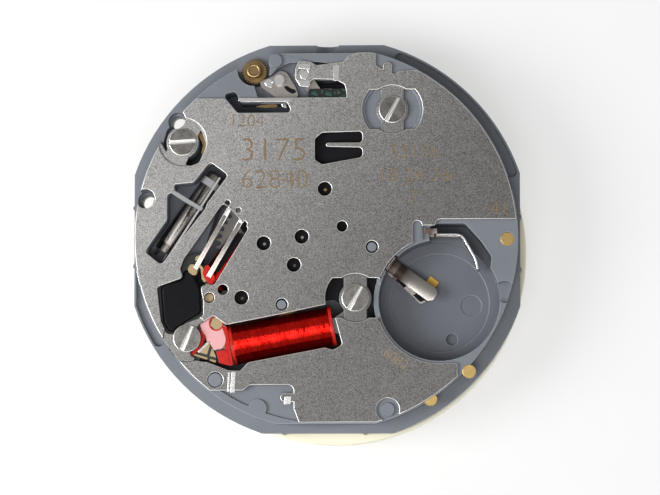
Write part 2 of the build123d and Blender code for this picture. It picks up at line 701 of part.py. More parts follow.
def screw_opening(number):
    """Openings beside one screw, parted by the strap that holds its eye."""
    turn = strap_angles[number] - 90
    if number == 0:
        face = rounded(first_screw_opening_shares)
    else:
        face = put(screw_places_shares[number], Rot(Z=turn) * (
            Circle(opening_radius) & Rectangle(2 * opening_radius, opening_height)))
    if number == 3:
        spot = at(screw_places_shares[number])
        face &= Pos(spot.X + opening_radius, spot.Y) * Rectangle(
            2 * opening_radius, 2 * opening_radius)
    eye = Circle(head_eye_radius) + Rectangle(2 * strap_half_width, 4 * opening_radius)
    return face - put(screw_places_shares[number], Rot(Z=turn) * eye)


def finger(run):
    """Bent-down contact finger of the back plate, tip lowest."""
    start = at(run[0])
    length = (at(run[1]) - start).length
    turn = heading(run[0], run[1])
    top = back_thickness - finger_drop / 2
    side = Polyline((0, back_thickness / 2), (0, back_thickness), (length, top - finger_drop),
                    (length, -finger_drop), (overrun, 0), close=True)
    blade = extrude(Plane.XZ * make_face(side), finger_width / 2, both=True)
    return Pos(start.X, start.Y, body_height) * Rot(Z=turn) * blade


def back_plate():
    """Stamped steel plate with dished screw eyes and bent contact fingers."""
    face = Circle(back_radius)
    face -= rounded(top_cut_shares, small_corner)
    face += rounded(plate_arm_shares, small_corner) & Circle(back_radius)
    face &= flatted(back_radius, back_radius, body_flat - back_bottom_inset, body_flat)
    face -= rounded(right_cut_shares, small_corner)
    face -= put(well_place_shares, Circle(well_radius + well_cut_gap))
    face -= strap(notch_line_shares, notch_width)
    face -= rounded(bottom_notch_shares) + rounded(top_notch_shares, slot_corner)
    for line in tab_lines_shares:
        face += strap(line, tab_width)
    for place in (bottom_post_places_shares[1], rail_post_place_shares):
        face -= put(place, Circle(post_hole_radius))
    face -= put(yoke_place_shares, Circle(tab_hole_radius))
    for outline in (crystal_opening_shares, finger_opening_shares, coil_opening_shares,
                    edge_slot_shares, hook_slot_shares):
        face -= rounded(outline, slot_corner)
    for number in range(4):
        face -= screw_opening(number)
    face -= put(flush_pin_place_shares, Circle(posts_radius + running_gap))
    for place in peg_places_shares:
        face -= put(place, Circle(peg_hole_radius + running_gap))
    for place in (third_place_shares, fifth_place_shares, sub_place_shares, rotor_place_shares,
                  rotor_b_place_shares):
        face -= put(place, Circle(dial_foot_radius))
    for place in spare_hole_places_shares:
        face -= put(place, Circle(peg_hole_radius))
    for place in dial_foot_places_shares:
        face -= put(place, Circle(foot_notch_radius))
    for place in finger_hole_places_shares:
        face -= put(place, Circle(probe_hole_radius))
    plate = slab(face, body_height, body_height + back_thickness)
    for number, place in enumerate(screw_places_shares):
        dish = put(place, Circle(dish_radius + dish_step)) - screw_opening(number)
        dish &= face + put(place, Circle(head_radius))
        plate += slab(dish, body_height - dish_depth, body_height)
        plate -= post(place, dish_radius, body_height + back_thickness - dish_depth,
                      body_height + overrun)
        plate -= post(place, shank_hole_radius, body_height - overrun, body_height + overrun)
    for run in finger_runs_shares:
        plate += finger(run)
    return plate


def plate_screw(number):
    """Cheese-head screw of the back plate."""
    seat = body_height + back_thickness - dish_depth
    screw = bar(head_radius, seat, seat + head_height)
    slot = Pos(0, 0, seat + head_height - slot_depth) * Rot(Z=screw_slot_angles[number]) * Box(
        2 * calibre_radius, slot_width, head_height, align=FOOT)
    foot = body_height - screw_grip - dish_depth if number < 2 else web_top + running_gap
    screw += bar(shank_radius, foot + 2 * running_gap, seat)
    return put(screw_places_shares[number], screw - slot)


def train_bridge():
    """Moulded bridge with the upper pivots of both trains."""
    plate = slab(rounded(bridge_outline_shares), bridge_bottom, bridge_top)
    plate += post(screw_places_shares[2], head_radius, core_top, body_height - dish_depth)
    plate -= post(well_place_shares, well_radius + well_wall + running_gap, 0, body_height)
    plate -= post(screw_places_shares[2], shank_hole_radius, 0, body_height)
    for place in (third_place_shares, fifth_place_shares, sub_place_shares, rotor_place_shares,
                  rotor_b_place_shares):
        plate += post(place, dial_foot_radius, bridge_bottom, bridge_top + running_gap)
        plate -= post(place, pivot_radius + pivot_clearance, 0, body_height)
    for place in peg_places_shares:
        plate -= post(place, peg_hole_radius, 0, body_height)
    return plate


def centre_bridge():
    """Thin bridge over the centre wheel."""
    plate = slab(rounded(centre_bridge_outline_shares, small_corner), centre_bridge_bottom,
                 centre_bridge_top)
    for place in (centre_place_shares, fifth_place_shares, rotor_place_shares):
        plate -= post(place, pivot_radius + pivot_clearance, 0, body_height)
    for place in peg_places_shares:
        plate -= post(place, peg_hole_radius, 0, body_height)
    return plate


def stator():
    """Soft iron stator of the main motor, seated on the two screw bosses."""
    face = strap(stator_left_arm_shares, stator_left_width)
    face += strap(stator_right_arm_shares, stator_arm_width)
    face += put(rotor_place_shares, Circle(stator_ring_radius))
    for place in screw_places_shares[2:]:
        face += put(place, Circle(lug_radius))
        face -= put(place, Circle(shank_hole_radius))
    face -= put(rotor_place_shares, Circle(stator_hole_radius))
    face -= put(peg_places_shares[1], Circle(peg_hole_radius + running_gap))
    return slab(face, stator_bottom, stator_top)


def second_stator():
    """Stator of the sub-dial motor."""
    face = strap(stator_b_right_arm_shares, stator_b_arm_width)
    face += strap(stator_b_left_arm_shares, stator_b_arm_width)
    face += put(rotor_b_place_shares, Circle(stator_b_ring_radius))
    face += put(stator_b_left_arm_shares[-1], Circle(lug_b_radius))
    face += put(stator_b_right_arm_shares[-1], Circle(lug_b_radius))
    face -= put(rotor_b_place_shares, Circle(stator_b_hole_radius))
    return slab(face, stator_b_bottom, stator_b_top)


def coil_core():
    """Core strip through the main coil with a lug at each screw."""
    face = strap([core_left_lug_shares[0], core_right_lug_shares[0]], core_width)
    face += strap(core_left_lug_shares, core_width) + strap(core_right_lug_shares, core_width)
    for place in screw_places_shares[2:]:
        face += put(place, Circle(lug_radius))
        face -= put(place, Circle(shank_hole_radius))
    return slab(face, stator_top, core_top)


def coil_bobbin():
    """Plastic bobbin: two flanges on a sleeve around the core."""
    body = x_bar(bobbin_flange_radius, 0, flange_thickness)
    body += x_bar(bobbin_flange_radius, coil_length - flange_thickness, coil_length)
    body += x_bar(drum_radius - bobbin_wall, 0, coil_length)
    hole = Box(2 * coil_length, core_width + 2 * core_gap, core_top - stator_top + 2 * core_gap)
    body -= Pos(0, 0, (core_top + stator_top) / 2 - coil_axis_height) * hole
    return lying(coil_ends_shares, coil_turn, coil_axis_height) * body


def coil_drum():
    """Inner layers of the winding as a plain sleeve between the flanges."""
    body = x_bar(drum_radius, flange_thickness, coil_length - flange_thickness)
    body -= x_bar(drum_radius - bobbin_wall, 0, coil_length)
    return lying(coil_ends_shares, coil_turn, coil_axis_height) * body


def helix_point(turns):
    """Point and direction on the outer layer after a number of turns."""
    angle = 2 * math.pi * turns
    radius = drum_radius + wire_gap + wire_radius
    start = (coil_length - wind_pitch * wind_half_turns / 2) / 2
    point = Vector(start + wind_pitch * turns, radius * math.cos(angle), radius * math.sin(angle))
    speed = 2 * math.pi * radius
    way = Vector(wind_pitch, -speed * math.sin(angle), speed * math.cos(angle)).normalized()
    return point, way


def biarc(start, start_way, end, end_way):
    """Two arcs that leave and meet two points in given directions."""
    run = end - start
    both = start_way + end_way
    spread = 2 * (1 - start_way.dot(end_way))
    reach = (-run.dot(both) + math.sqrt(run.dot(both) ** 2 + spread * run.dot(run))) / spread
    joint = (start + end + (start_way - end_way) * reach) * 0.5
    first = TangentArc(start, joint, tangent=start_way)
    middle = TangentArc(end, joint, tangent=end_way * -1) @ 0.5
    return [first, ThreePointArc(joint, middle, end)]


def coil_outer_layer():
    """Outer layer of the winding as one unbroken wire."""
    along = Vector(1, 0, 0)
    knots = [helix_point(step / 2) for step in range(wind_half_turns + 1)]
    start, _ = helix_point(-wind_lead_turns)
    end, _ = helix_point(wind_half_turns / 2 + wind_lead_turns)
    start = Vector(knots[0][0].X - wind_lead, start.Y, start.Z)
    end = Vector(knots[-1][0].X + wind_lead, end.Y, end.Z)
    straight = along * (2 * wire_radius)
    knots = [(start, along)] + knots + [(end, along)]
    edges = [Line(start - straight, start)]
    for (point, way), (next_point, next_way) in zip(knots, knots[1:]):
        edges += biarc(point, way, next_point, next_way)
    edges.append(Line(end, end + straight))
    path = Wire(edges)
    print("least gap of the winding to itself:", round(least_gap(edges), 3), "mm")
    section = Plane(origin=start - straight, z_dir=along) * Circle(wire_radius)
    return lying(coil_ends_shares, coil_turn, coil_axis_height) * sweep(section, path=path)


def least_gap(edges):
    """Smallest clear distance of the wire to its own neighbouring loops."""
    points = []
    run = 0
    for edge in edges:
        count = 12
        for step in range(count):
            points.append((run + edge.length * step / count, edge @ (step / count)))
        run += edge.length
    apart = math.pi * drum_radius
    best = coil_length
    for first_run, first in points:
        for second_run, second in points:
            if second_run - first_run > apart:
                best = min(best, (second - first).length - 2 * wire_radius)
    return best


def second_core():
    """Core strip through the sub-dial coil."""
    face = strap([stator_b_left_arm_shares[-1], stator_b_right_arm_shares[-1]], core_b_width)
    face += put(stator_b_left_arm_shares[-1], Circle(lug_b_radius))
    face += put(stator_b_right_arm_shares[-1], Circle(lug_b_radius))
    return slab(face, stator_b_top, core_b_top)


def second_bobbin():
    """Two thin flanges of the sub-dial coil."""
    hole = Box(4 * coil_b_length, core_b_width + 2 * core_gap,
               core_b_top - stator_b_top + 2 * core_gap)
    hole = Pos(0, 0, (core_b_top + stator_b_top) / 2 - coil_b_axis_height) * hole
    body = x_bar(flange_b_radius, 0, flange_b_thickness)
    body += x_bar(flange_b_radius, coil_b_length - flange_b_thickness, coil_b_length)
    body += x_bar(bobbin_b_radius, 0, coil_b_length)
    return lying(coil_b_ends_shares, coil_b_turn, coil_b_axis_height) * (body - hole)


def second_winding():
    """Wound layers of the sub-dial coil."""
    body = x_bar(drum_b_radius, flange_b_thickness, coil_b_length - flange_b_thickness)
    body -= x_bar(bobbin_b_radius, 0, coil_b_length)
    return lying(coil_b_ends_shares, coil_b_turn, coil_b_axis_height) * body


def rotor():
    """Magnet rotor of the main motor with its pinion."""
    body = bar(magnet_radius, magnet_bottom, magnet_top)
    body += bar(arbor_radius, centre_bridge_top + running_gap / 2, bridge_bottom - running_gap / 2)
    body += bar(pivot_radius, centre_bridge_bottom + running_gap, bridge_top - running_gap)
    body += gear(rotor_teeth, rotor_radius, rotor_phase, rotor_pinion_bottom, rotor_pinion_top)
    return put(rotor_place_shares, body)


def second_rotor():
    """Magnet rotor of the sub-dial motor with its pinion."""
    body = bar(magnet_b_radius, magnet_b_bottom, magnet_b_top)
    body += bar(arbor_radius, web_top + running_gap / 2, bridge_bottom - running_gap / 2)
    body += bar(pivot_radius, web_top - pivot_depth + running_gap, bridge_top - running_gap)
    body += gear(rotor_b_teeth, rotor_b_radius, rotor_b_phase, rotor_b_pinion_bottom,
                 rotor_b_pinion_top)
    return put(rotor_b_place_shares, body)


def fifth_wheel():
    """Wheel driven by the rotor, with the pinion of the third wheel."""
    body = gear(fifth_teeth, fifth_radius, fifth_phase, fifth_disc_bottom, fifth_disc_top)
    body += gear(fifth_pinion_teeth, fifth_pinion_radius, fifth_pinion_phase,
                 fifth_pinion_bottom, fifth_pinion_top)
    body += bar(arbor_radius, centre_bridge_top + running_gap / 2, bridge_bottom - running_gap / 2)
    body += bar(pivot_radius, centre_bridge_bottom + running_gap, bridge_top - running_gap)
    return put(fifth_place_shares, body)


def third_wheel():
    """Wheel between the fifth and the centre wheel."""
    body = gear(third_teeth, third_radius, third_phase, third_disc_bottom, third_disc_top)
    body += gear(third_pinion_teeth, third_pinion_radius, third_pinion_phase,
                 third_pinion_bottom, third_pinion_top)
    body += bar(arbor_radius, web_top + running_gap / 2, bridge_bottom - running_gap / 2)
    body += bar(pivot_radius, web_top - pivot_depth + running_gap, bridge_top - running_gap)
    return put(third_place_shares, body)


def centre_wheel():
    """Centre wheel with the cannon that carries the minute hand."""
    body = gear(centre_teeth, centre_radius, centre_phase, centre_disc_bottom, centre_disc_top)
    body += bar(centre_hub_radius, centre_boss_top + running_gap / 2, centre_disc_top)
    body += bar(pivot_radius, centre_disc_top, centre_bridge_top - running_gap)
    body += bar(centre_arbor_radius, cannon_teeth_bottom, centre_disc_bottom)
    body += bar(cannon_radius, minute_seat_length - cannon_end, cannon_teeth_bottom)
    body += bar(minute_seat_radius, -cannon_end, cannon_teeth_top)
    body += gear(cannon_teeth, cannon_pitch, cannon_phase, cannon_teeth_bottom, cannon_teeth_top)
    return body


def hour_wheel():
    """Hour wheel on its pipe around the cannon."""
    body = gear(hour_teeth, hour_radius, hour_phase, hour_disc_bottom, hour_disc_top)
    body += bar(hour_pipe_radius, -hour_pipe_end, hour_disc_top)
    return body - bar(hour_pipe_bore, -cannon_end, web_bottom)


def minute_wheel():
    """Minute wheel and pinion on a pin of the main plate."""
    body = gear(minute_teeth, minute_radius, minute_phase, minute_disc_bottom, minute_disc_top)
    body += gear(minute_pinion_teeth, minute_pinion_radius, minute_pinion_phase,
                 minute_pinion_bottom, minute_disc_bottom)
    return put(minute_place_shares, body - bar(wheel_bore_radius, 0, web_bottom))


def setting_part(place, teeth, radius, phase):
    """Flat wheel of the hand setting on a pin of the main plate."""
    body = gear(teeth, radius, phase, minute_disc_bottom, minute_disc_top)
    return put(place, body - bar(wheel_bore_radius, 0, web_bottom))


def sub_dial_wheel():
    """Wheel whose post carries the sub-dial hand."""
    body = gear(sub_teeth, sub_radius, sub_phase, sub_disc_bottom, sub_disc_top)
    body += bar(sub_post_radius, sub_seat_length - sub_post_end, sub_disc_top)
    body += bar(sub_seat_radius, -sub_post_end, sub_disc_top)
    body += bar(arbor_radius, sub_disc_top, bridge_bottom - running_gap / 2)
    body += bar(pivot_radius, sub_disc_top, bridge_top - running_gap)
    return put(sub_place_shares, body)


def hour_guard():
    """Thin cover over the hand-setting wheels."""
    face = strap([centre_place_shares, setting_place_shares], guard_width)
    face -= Circle(guard_pipe_hole)
    for place in guard_screw_places_shares:
        face -= put(place, Circle(guard_screw_radius + running_gap))
    return slab(face, guard_bottom, guard_top)


def guard_screw(place):
    """Flat-head screw of the hour guard."""
    screw = post(place, guard_head_radius, guard_head_bottom, guard_bottom)
    screw += post(place, guard_screw_radius, guard_bottom, guard_screw_top - running_gap)
    return screw


def circuit_board():
    """Flexible circuit board with a bite around the sub-dial coil."""
    face = rounded(board_outline_shares, small_corner)
    face -= put(screw_places_shares[3], Circle(shank_hole_radius))
    face -= strap(coil_b_ends_shares, 2 * (flange_b_radius + running_gap))
    return slab(face, board_bottom, board_top)


def circuit_spacer():
    """Insulating block between the coil lug and the board."""
    face = rounded(spacer_outline_shares)
    face -= put(screw_places_shares[3], Circle(shank_hole_radius))
    block = slab(face, core_top, board_bottom)
    reach = bobbin_flange_radius + 2 * running_gap
    return block - lying(coil_ends_shares, coil_turn, coil_axis_height) * x_bar(
        reach, -2 * running_gap, coil_length)


def coil_lead_board():
    """Small board on which the coil ends are soldered."""
    return slab(rounded(lead_board_outline_shares, small_corner), board_bottom, lead_board_top)


def potting():
    """Drop of black resin over the chip."""
    body = slab(rounded(potting_outline_shares), board_top, potting_top)
    return body - post(screw_places_shares[3], head_radius + running_gap, 0, body_height)


def crystal_height():
    """Height of the crystal axis above the dial seat."""
    return crystal_floor + crystal_radius


def crystal_can():
    """Drawn metal can of the crystal with a round cap edge."""
    body = x_bar(crystal_radius, 0, crystal_can_length)
    body = fillet(body.edges().filter_by(GeomType.CIRCLE).sort_by(Axis.X)[0], small_corner)
    return lying(crystal_ends_shares, crystal_turn, crystal_height()) * body


def crystal_base():
    """Glass-sealed base and its two leads."""
    end = crystal_can_length + crystal_base_length
    body = x_bar(crystal_radius - running_gap, crystal_can_length, end)
    for side in (-1, 1):
        body += Pos(0, side * crystal_lead_offset, 0) * x_bar(
            crystal_lead_radius, end, end + crystal_lead_length)
    return lying(crystal_ends_shares, crystal_turn, crystal_height()) * body


def crystal_strap():
    """Thin band across the can near its closed end."""
    outer = x_bar(crystal_radius + strap_thickness / 2, strap_width, 2 * strap_width)
    body = outer - x_bar(crystal_radius, 0, crystal_can_length)
    body &= Pos(0, 0, crystal_radius) * Box(
        crystal_can_length, 2 * crystal_radius, 2 * crystal_radius)
    return lying(crystal_ends_shares, crystal_turn, crystal_height()) * body


def tongue_slope():
    """Upward slope of the free minus tongue, in degrees."""
    return math.degrees(math.asin(tongue_lift / tongue_length))


def minus_tongue():
    """Free end of the minus contact, hinged where it bends."""
    face = Pos(tongue_length / 2, 0) * Rectangle(tongue_length, tongue_width)
    face = chamfer(face.vertices().sort_by(Axis.X)[2:], tongue_corner)
    blade = extrude(face, tongue_thickness)
    height = ledge_floor + leaf_thickness + running_gap
    return lying([tongue_root_shares], tongue_turn, height) * Rot(Y=-tongue_slope()) * blade


def minus_foot():
    """Fixed part of the minus contact: floor leaf, riser and top bend."""
    riser = leaf_thickness
    top = bridge_bottom + leaf_thickness
    leaf = Pos(-riser - running_gap, (leaf_width - tongue_width) / 2, 0) * Box(
        leaf_length, leaf_width, leaf_thickness, align=(Align.MIN, Align.CENTER, Align.MIN))
    wall = Pos(-riser - running_gap, 0, 0) * Box(
        riser, tongue_width, top - ledge_floor, align=(Align.MIN, Align.CENTER, Align.MIN))
    return lying([tongue_root_shares], tongue_turn, ledge_floor) * (leaf + wall)


def plus_blade():
    """Plus contact blade on edge, held at its left end."""
    return slab(strap(blade_line_shares, blade_thickness), blade_bottom, blade_top)


def plus_foot():
    """Folded foot of the plus contact at the root of the blade."""
    spot = at(blade_line_shares[0])
    face = Pos(spot.X - blade_thickness - foot_length / 2, spot.Y + foot_width / 4) * Rectangle(
        foot_length, foot_width)
    return slab(face, channel_floor, foot_top)


def cell_insulator():
    """Small yellow insulating pad beside the minus tongue."""
    pad = Pos(insulator_distance, insulator_offset, 0) * Box(
        insulator_length, insulator_width, insulator_height, align=FOOT)
    return lying([tongue_root_shares], tongue_turn, well_floor) * pad


def brass_pin(place):
    """Flat-ended brass pin pressed into the main plate."""
    return post(place, pin_radius, body_height - pin_root, body_height)


def corrector_wheel():
    """Small brass corrector wheel with a raised hub."""
    top = corrector_floor + corrector_flange_height
    radius = corrector_flange_radius / (1 + 2 * tooth_add_share / corrector_teeth)
    body = gear(corrector_teeth, radius, 0, corrector_floor + running_gap / 2, top)
    body += bar(corrector_hub_radius, top, corrector_floor + corrector_hub_height)
    body -= bar(corrector_pin_radius + running_gap / 2, 0,
                corrector_floor + corrector_pin_height + running_gap)
    return put(corrector_place_shares, body)


def setting_lever():
    """Lever turned by the stem, with its nose at the left."""
    body = slab(rounded(lever_outline_shares), lever_bottom, lever_bottom + lever_thickness)
    return body - post(lever_place_shares, lever_pin_radius + running_gap / 2, 0, body_height)


def yoke():
    """Yoke above the clutch wheel."""
    body = slab(rounded(yoke_outline_shares, small_corner), yoke_bottom, yoke_bottom + yoke_thickness)
    tab = Rectangle(yoke_tab_width, yoke_tab_depth)
    body += slab(put(clutch_place_shares, tab), stem_height + clutch_groove_radius + running_gap,
                 yoke_bottom + yoke_thickness)
    return body - post(yoke_place_shares, lever_pin_radius + running_gap / 2, 0, body_height)


def lever_pin(place, below):
    """Pin of a lever with a flat head above it."""
    pin = post(place, lever_pin_radius, keyless_floor, below + running_gap)
    return pin + post(place, lever_pin_head_radius, below + running_gap, lever_pin_top)


def clutch_wheel():
    """Clutch wheel on the stem axis with its yoke groove."""
    body = Cylinder(clutch_radius, clutch_length)
    ring = Cylinder(clutch_radius + overrun, clutch_groove_width) - Cylinder(
        clutch_groove_radius, clutch_length)
    body -= ring + Box(clutch_square, clutch_square, 2 * clutch_length)
    spot = at(clutch_place_shares)
    return Pos(spot.X, spot.Y, stem_height) * Rot(X=90) * body


def circuit_strip():
    """Printed strip seen under the slot beside the stem."""
    return slab(rounded(strip_outline_shares, small_corner), board_top, board_top + leaf_thickness)


def storage_cap():
    """Moulded cap on which the dial side is kept."""
    spot = at(cap_place_shares)
    cap = Cylinder(cap_radius, cap_height, align=FOOT)
    cap = chamfer(cap.edges().filter_by(GeomType.CIRCLE).sort_by(Axis.Z)[0], cap_edge)
    cap = Pos(spot.X, spot.Y, -cap_height) * cap
    return cap - post(cap_place_shares, cap_hollow_radius, cap_floor - cap_height, overrun)


def save(name, *solids):
    """Write one named part, alone or as a group of separate solids."""
    shape = solids[0] if len(solids) == 1 else Compound(children=list(solids))
    export_step(shape, "parts/" + name + ".step")


os.makedirs("parts", exist_ok=True)
save("main_plate", main_plate())
save("back_plate", back_plate())
save("plate_screws", *[plate_screw(number) for number in range(4)])
save("train_bridge", train_bridge())
save("centre_bridge", centre_bridge())
save("stator", stator())
save("second_stator", second_stator())
save("coil_core", coil_core())
save("coil_bobbin", coil_bobbin())
save("coil_drum", coil_drum())
save("coil_outer_layer", coil_outer_layer())
save("second_core", second_core())
save("second_bobbin", second_bobbin())
save("second_winding", second_winding())
save("rotor", rotor())
save("second_rotor", second_rotor())
save("fifth_wheel", fifth_wheel())
save("third_wheel", third_wheel())
save("centre_wheel", centre_wheel())
save("hour_wheel", hour_wheel())
save("minute_wheel", minute_wheel())
save("idler_wheel", setting_part(idler_place_shares, idler_teeth, idler_radius, idler_phase))
save("setting_wheel", setting_part(setting_place_shares, setting_teeth, setting_radius, setting_phase))
save("sub_dial_wheel", sub_dial_wheel())
save("hour_guard", hour_guard())
save("guard_screws", *[guard_screw(place) for place in guard_screw_places_shares])
save("circuit_board", circuit_board())
save("circuit_spacer", circuit_spacer())
save("coil_lead_board", coil_lead_board())
save("potting", potting())
save("crystal_can", crystal_can())
save("crystal_base", crystal_base())
save("crystal_strap", crystal_strap())
save("minus_tongue", minus_tongue())
save("minus_foot", minus_foot())
save("plus_blade", plus_blade())
save("plus_foot", plus_foot())
save("cell_insulator", cell_insulator())
save("brass_pins", *[brass_pin(place) for place in brass_pin_places_shares])
save("corrector_wheel", corrector_wheel())
save("setting_lever", setting_lever())
save("yoke", yoke())
save("lever_pins", lever_pin(lever_place_shares, lever_bottom + lever_thickness),
     lever_pin(yoke_place_shares, yoke_bottom + yoke_thickness))
save("clutch_wheel", clutch_wheel())
save("circuit_strip", circuit_strip())
save("storage_cap", storage_cap())
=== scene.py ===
import json
import math

import bmesh
import bpy
from mathutils import Matrix, Vector


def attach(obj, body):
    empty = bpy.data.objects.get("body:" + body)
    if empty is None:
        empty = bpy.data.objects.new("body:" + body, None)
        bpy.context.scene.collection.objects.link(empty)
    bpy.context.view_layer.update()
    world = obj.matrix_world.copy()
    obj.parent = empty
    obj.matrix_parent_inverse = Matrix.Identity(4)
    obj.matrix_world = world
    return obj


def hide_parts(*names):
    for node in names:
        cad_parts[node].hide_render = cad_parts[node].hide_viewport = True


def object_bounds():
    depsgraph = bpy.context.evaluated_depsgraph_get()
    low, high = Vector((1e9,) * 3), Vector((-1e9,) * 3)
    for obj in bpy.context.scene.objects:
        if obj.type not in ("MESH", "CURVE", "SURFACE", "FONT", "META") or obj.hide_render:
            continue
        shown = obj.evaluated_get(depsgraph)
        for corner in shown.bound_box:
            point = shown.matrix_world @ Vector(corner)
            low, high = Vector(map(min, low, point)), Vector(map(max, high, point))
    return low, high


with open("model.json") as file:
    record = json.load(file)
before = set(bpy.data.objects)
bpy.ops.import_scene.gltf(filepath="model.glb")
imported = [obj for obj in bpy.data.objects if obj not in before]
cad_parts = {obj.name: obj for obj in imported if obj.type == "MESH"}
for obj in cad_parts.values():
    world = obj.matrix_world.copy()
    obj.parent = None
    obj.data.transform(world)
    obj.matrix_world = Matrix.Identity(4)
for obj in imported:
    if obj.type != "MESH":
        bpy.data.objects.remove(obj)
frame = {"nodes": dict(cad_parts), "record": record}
cad_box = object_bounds()

# Sizes and heights in metres
MM = 0.001
CALIBRE = 11.92 * MM
PLATE_TOP = 3.40 * MM
STAMP_LEVEL = 3.36 * MM
WELL_FLOOR = 0.65 * MM
LEDGE_FLOOR = 0.75 * MM
BODY_HEIGHT = 3.20 * MM
SCREW_TOP = max(corner[2] for corner in frame["nodes"]["plate_screws"].bound_box)
FINGER_ROOT = 3.408 * MM
FINGER_TIP = 3.20 * MM
COIL_HEIGHT = 2.13 * MM
COIL_RADIUS = 1.14 * MM
COIL_WIRE = 0.028 * MM
COIL_FLANGE = 0.19 * MM
MERGE_DISTANCE = 0.0005 * MM
FLOOR_GAP = 0.02 * MM
FLOOR_HALF = 0.6

# Plan places as shares of the calibre radius
COIL_ENDS = ((-0.4636, -0.5192), (0.0368, -0.426))
TONGUE_ROOT = (0.3206, -0.126)
TONGUE_TIP = (0.5478, -0.2976)
CORRECTOR = (-0.3525, 0.8259)

# The photograph's scale and middle, and how far the camera leans for each unit of height
PIXELS_PER_MM = 17.1
PICTURE_WIDTH = 660
MIDDLE_COLUMN = 327
MIDDLE_ROW = 240
VIEW_LEVEL = 1.5
LEAN_RIGHT = 0.051
LEAN_DOWN = 0.082
CAMERA_TARGET = (0.175, -0.439, VIEW_LEVEL)
CAMERA_DISTANCE = 0.200
SENSOR_WIDTH = 36

# Colour of the painted highlight on rounded edges, strength of the surroundings and white share of
# the floor
PAINTED_EDGE_HIGHLIGHT = (0.78, 0.77, 0.75)
SURROUNDINGS = 0.38
FLOOR_WHITE = 0.5

# Angles in degrees from which an edge is rounded, or stays crisp in the shading
ROUNDED_FROM = 35
CRISP_FROM = 32
ROUND_CRISP_FROM = 60

# Upright part of a level face's normal, steps round a ring, and turn spacing in wire radii
LEVEL_FACE = 0.999
RING_STEPS = 28
LATHE_STEPS = 40
PITCH = 2.02

# Places of the colour sockets on a mix node
MIX_SHARE = 0
MIX_FIRST = 6
MIX_SECOND = 7
MIX_RESULT = 2


def at(place, height):
    """Point above a plan place given as shares of the calibre radius."""
    return Vector((place[0] * CALIBRE, place[1] * CALIBRE, height))


def seen(column, row, height):
    """Point at a height that the camera sees at a column and row of the picture."""
    lift = height / MM - VIEW_LEVEL
    return Vector((((column - MIDDLE_COLUMN) / PIXELS_PER_MM + lift * LEAN_RIGHT) * MM,
                   ((MIDDLE_ROW - row) / PIXELS_PER_MM - lift * LEAN_DOWN) * MM, height))


class Number:
    """A value inside a finish, with plain arithmetic."""

    def __init__(self, finish, socket):
        self.finish = finish
        self.socket = socket

    def combine(self, operation, *others):
        """This value worked out with others by one operation."""
        inputs = {0: self}
        for place, other in enumerate(others):
            inputs[place + 1] = other
        return self.finish.node("ShaderNodeMath", 0, inputs, operation=operation)

    def __add__(self, other):
        return self.combine("ADD", other)

    def __sub__(self, other):
        return self.combine("SUBTRACT", other)

    def __mul__(self, other):
        return self.combine("MULTIPLY", other)

    def above(self, limit):
        return self.combine("GREATER_THAN", limit)

    def below(self, limit):
        return self.combine("LESS_THAN", limit)

    def between(self, low, high):
        """One between two limits, zero outside them."""
        return self.above(low) * self.below(high)

    def ramp(self, low, high):
        """Zero at the low value, one at the high value, clamped between."""
        inputs = {0: self, 1: low, 2: high}
        return self.finish.node("ShaderNodeMapRange", 0, inputs, clamp=True)


class Finish:
    """One material, its constant surface and what varies over it."""

    def __init__(self, name, colour, roughness, specular=0.5, **surface):
        self.material = bpy.data.materials.new(name)
        self.material.use_nodes = True
        self.tree = self.material.node_tree
        self.shader = self.tree.nodes["Principled BSDF"]
        self.shader.inputs["Base Color"].default_value = (*colour, 1)
        self.shader.inputs["Roughness"].default_value = roughness
        self.shader.inputs["Specular IOR Level"].default_value = specular
        for label, value in surface.items():
            self.shader.inputs[label.replace("_", " ").title()].default_value = value

    def node(self, kind, output, inputs, **settings):
        """New node with its inputs set or linked, seen as one of its outputs."""
        made = self.tree.nodes.new(kind)
        for label, value in settings.items():
            setattr(made, label, value)
        for place, value in inputs.items():
            if isinstance(value, Number):
                self.tree.links.new(value.socket, made.inputs[place])
            else:
                made.inputs[place].default_value = value
        return Number(self, made.outputs[output])

    def place(self, stretch=(1, 1, 1), turn=0.0):
        """Object coordinates, turned about Z and then stretched."""
        spot = self.node("ShaderNodeTexCoord", "Object", {})
        inputs = {"Vector": spot, "Rotation": (0, 0, turn)}
        spot = self.node("ShaderNodeMapping", 0, inputs)
        return self.node("ShaderNodeMapping", 0, {"Vector": spot, "Scale": stretch})

    def axes(self):
        """The three object coordinates, each as a number."""
        made = self.tree.nodes.new("ShaderNodeSeparateXYZ")
        self.tree.links.new(self.place().socket, made.inputs[0])
        return [Number(self, socket) for socket in made.outputs]

    def height(self):
        """The object coordinate along Z."""
        return self.axes()[2]

    def noise(self, size, detail=3.0, roughness=0.55, **placing):
        """Noise whose features are about the given size in metres."""
        inputs = {"Vector": self.place(**placing), "Scale": 1 / size, "Detail": detail,
                  "Roughness": roughness}
        return self.node("ShaderNodeTexNoise", 0, inputs)

    def mix(self, share, first, second):
        """Colour between two colours."""
        inputs = {MIX_SHARE: share, MIX_FIRST: self.colour(first), MIX_SECOND: self.colour(second)}
        return self.node("ShaderNodeMix", MIX_RESULT, inputs, data_type="RGBA")

    @staticmethod
    def colour(value):
        """A plain colour with its fourth part, or the value as it is."""
        return (*value, 1) if isinstance(value, tuple) else value

    def vary(self, label, value):
        """Link a varying value to one input of the shader."""
        self.tree.links.new(value.socket, self.shader.inputs[label])
        return self

    def bump(self, height, depth):
        """Small relief, in metres."""
        inputs = {"Height": height, "Distance": depth, "Strength": 1.0}
        return self.vary("Normal", self.node("ShaderNodeBump", 0, inputs))


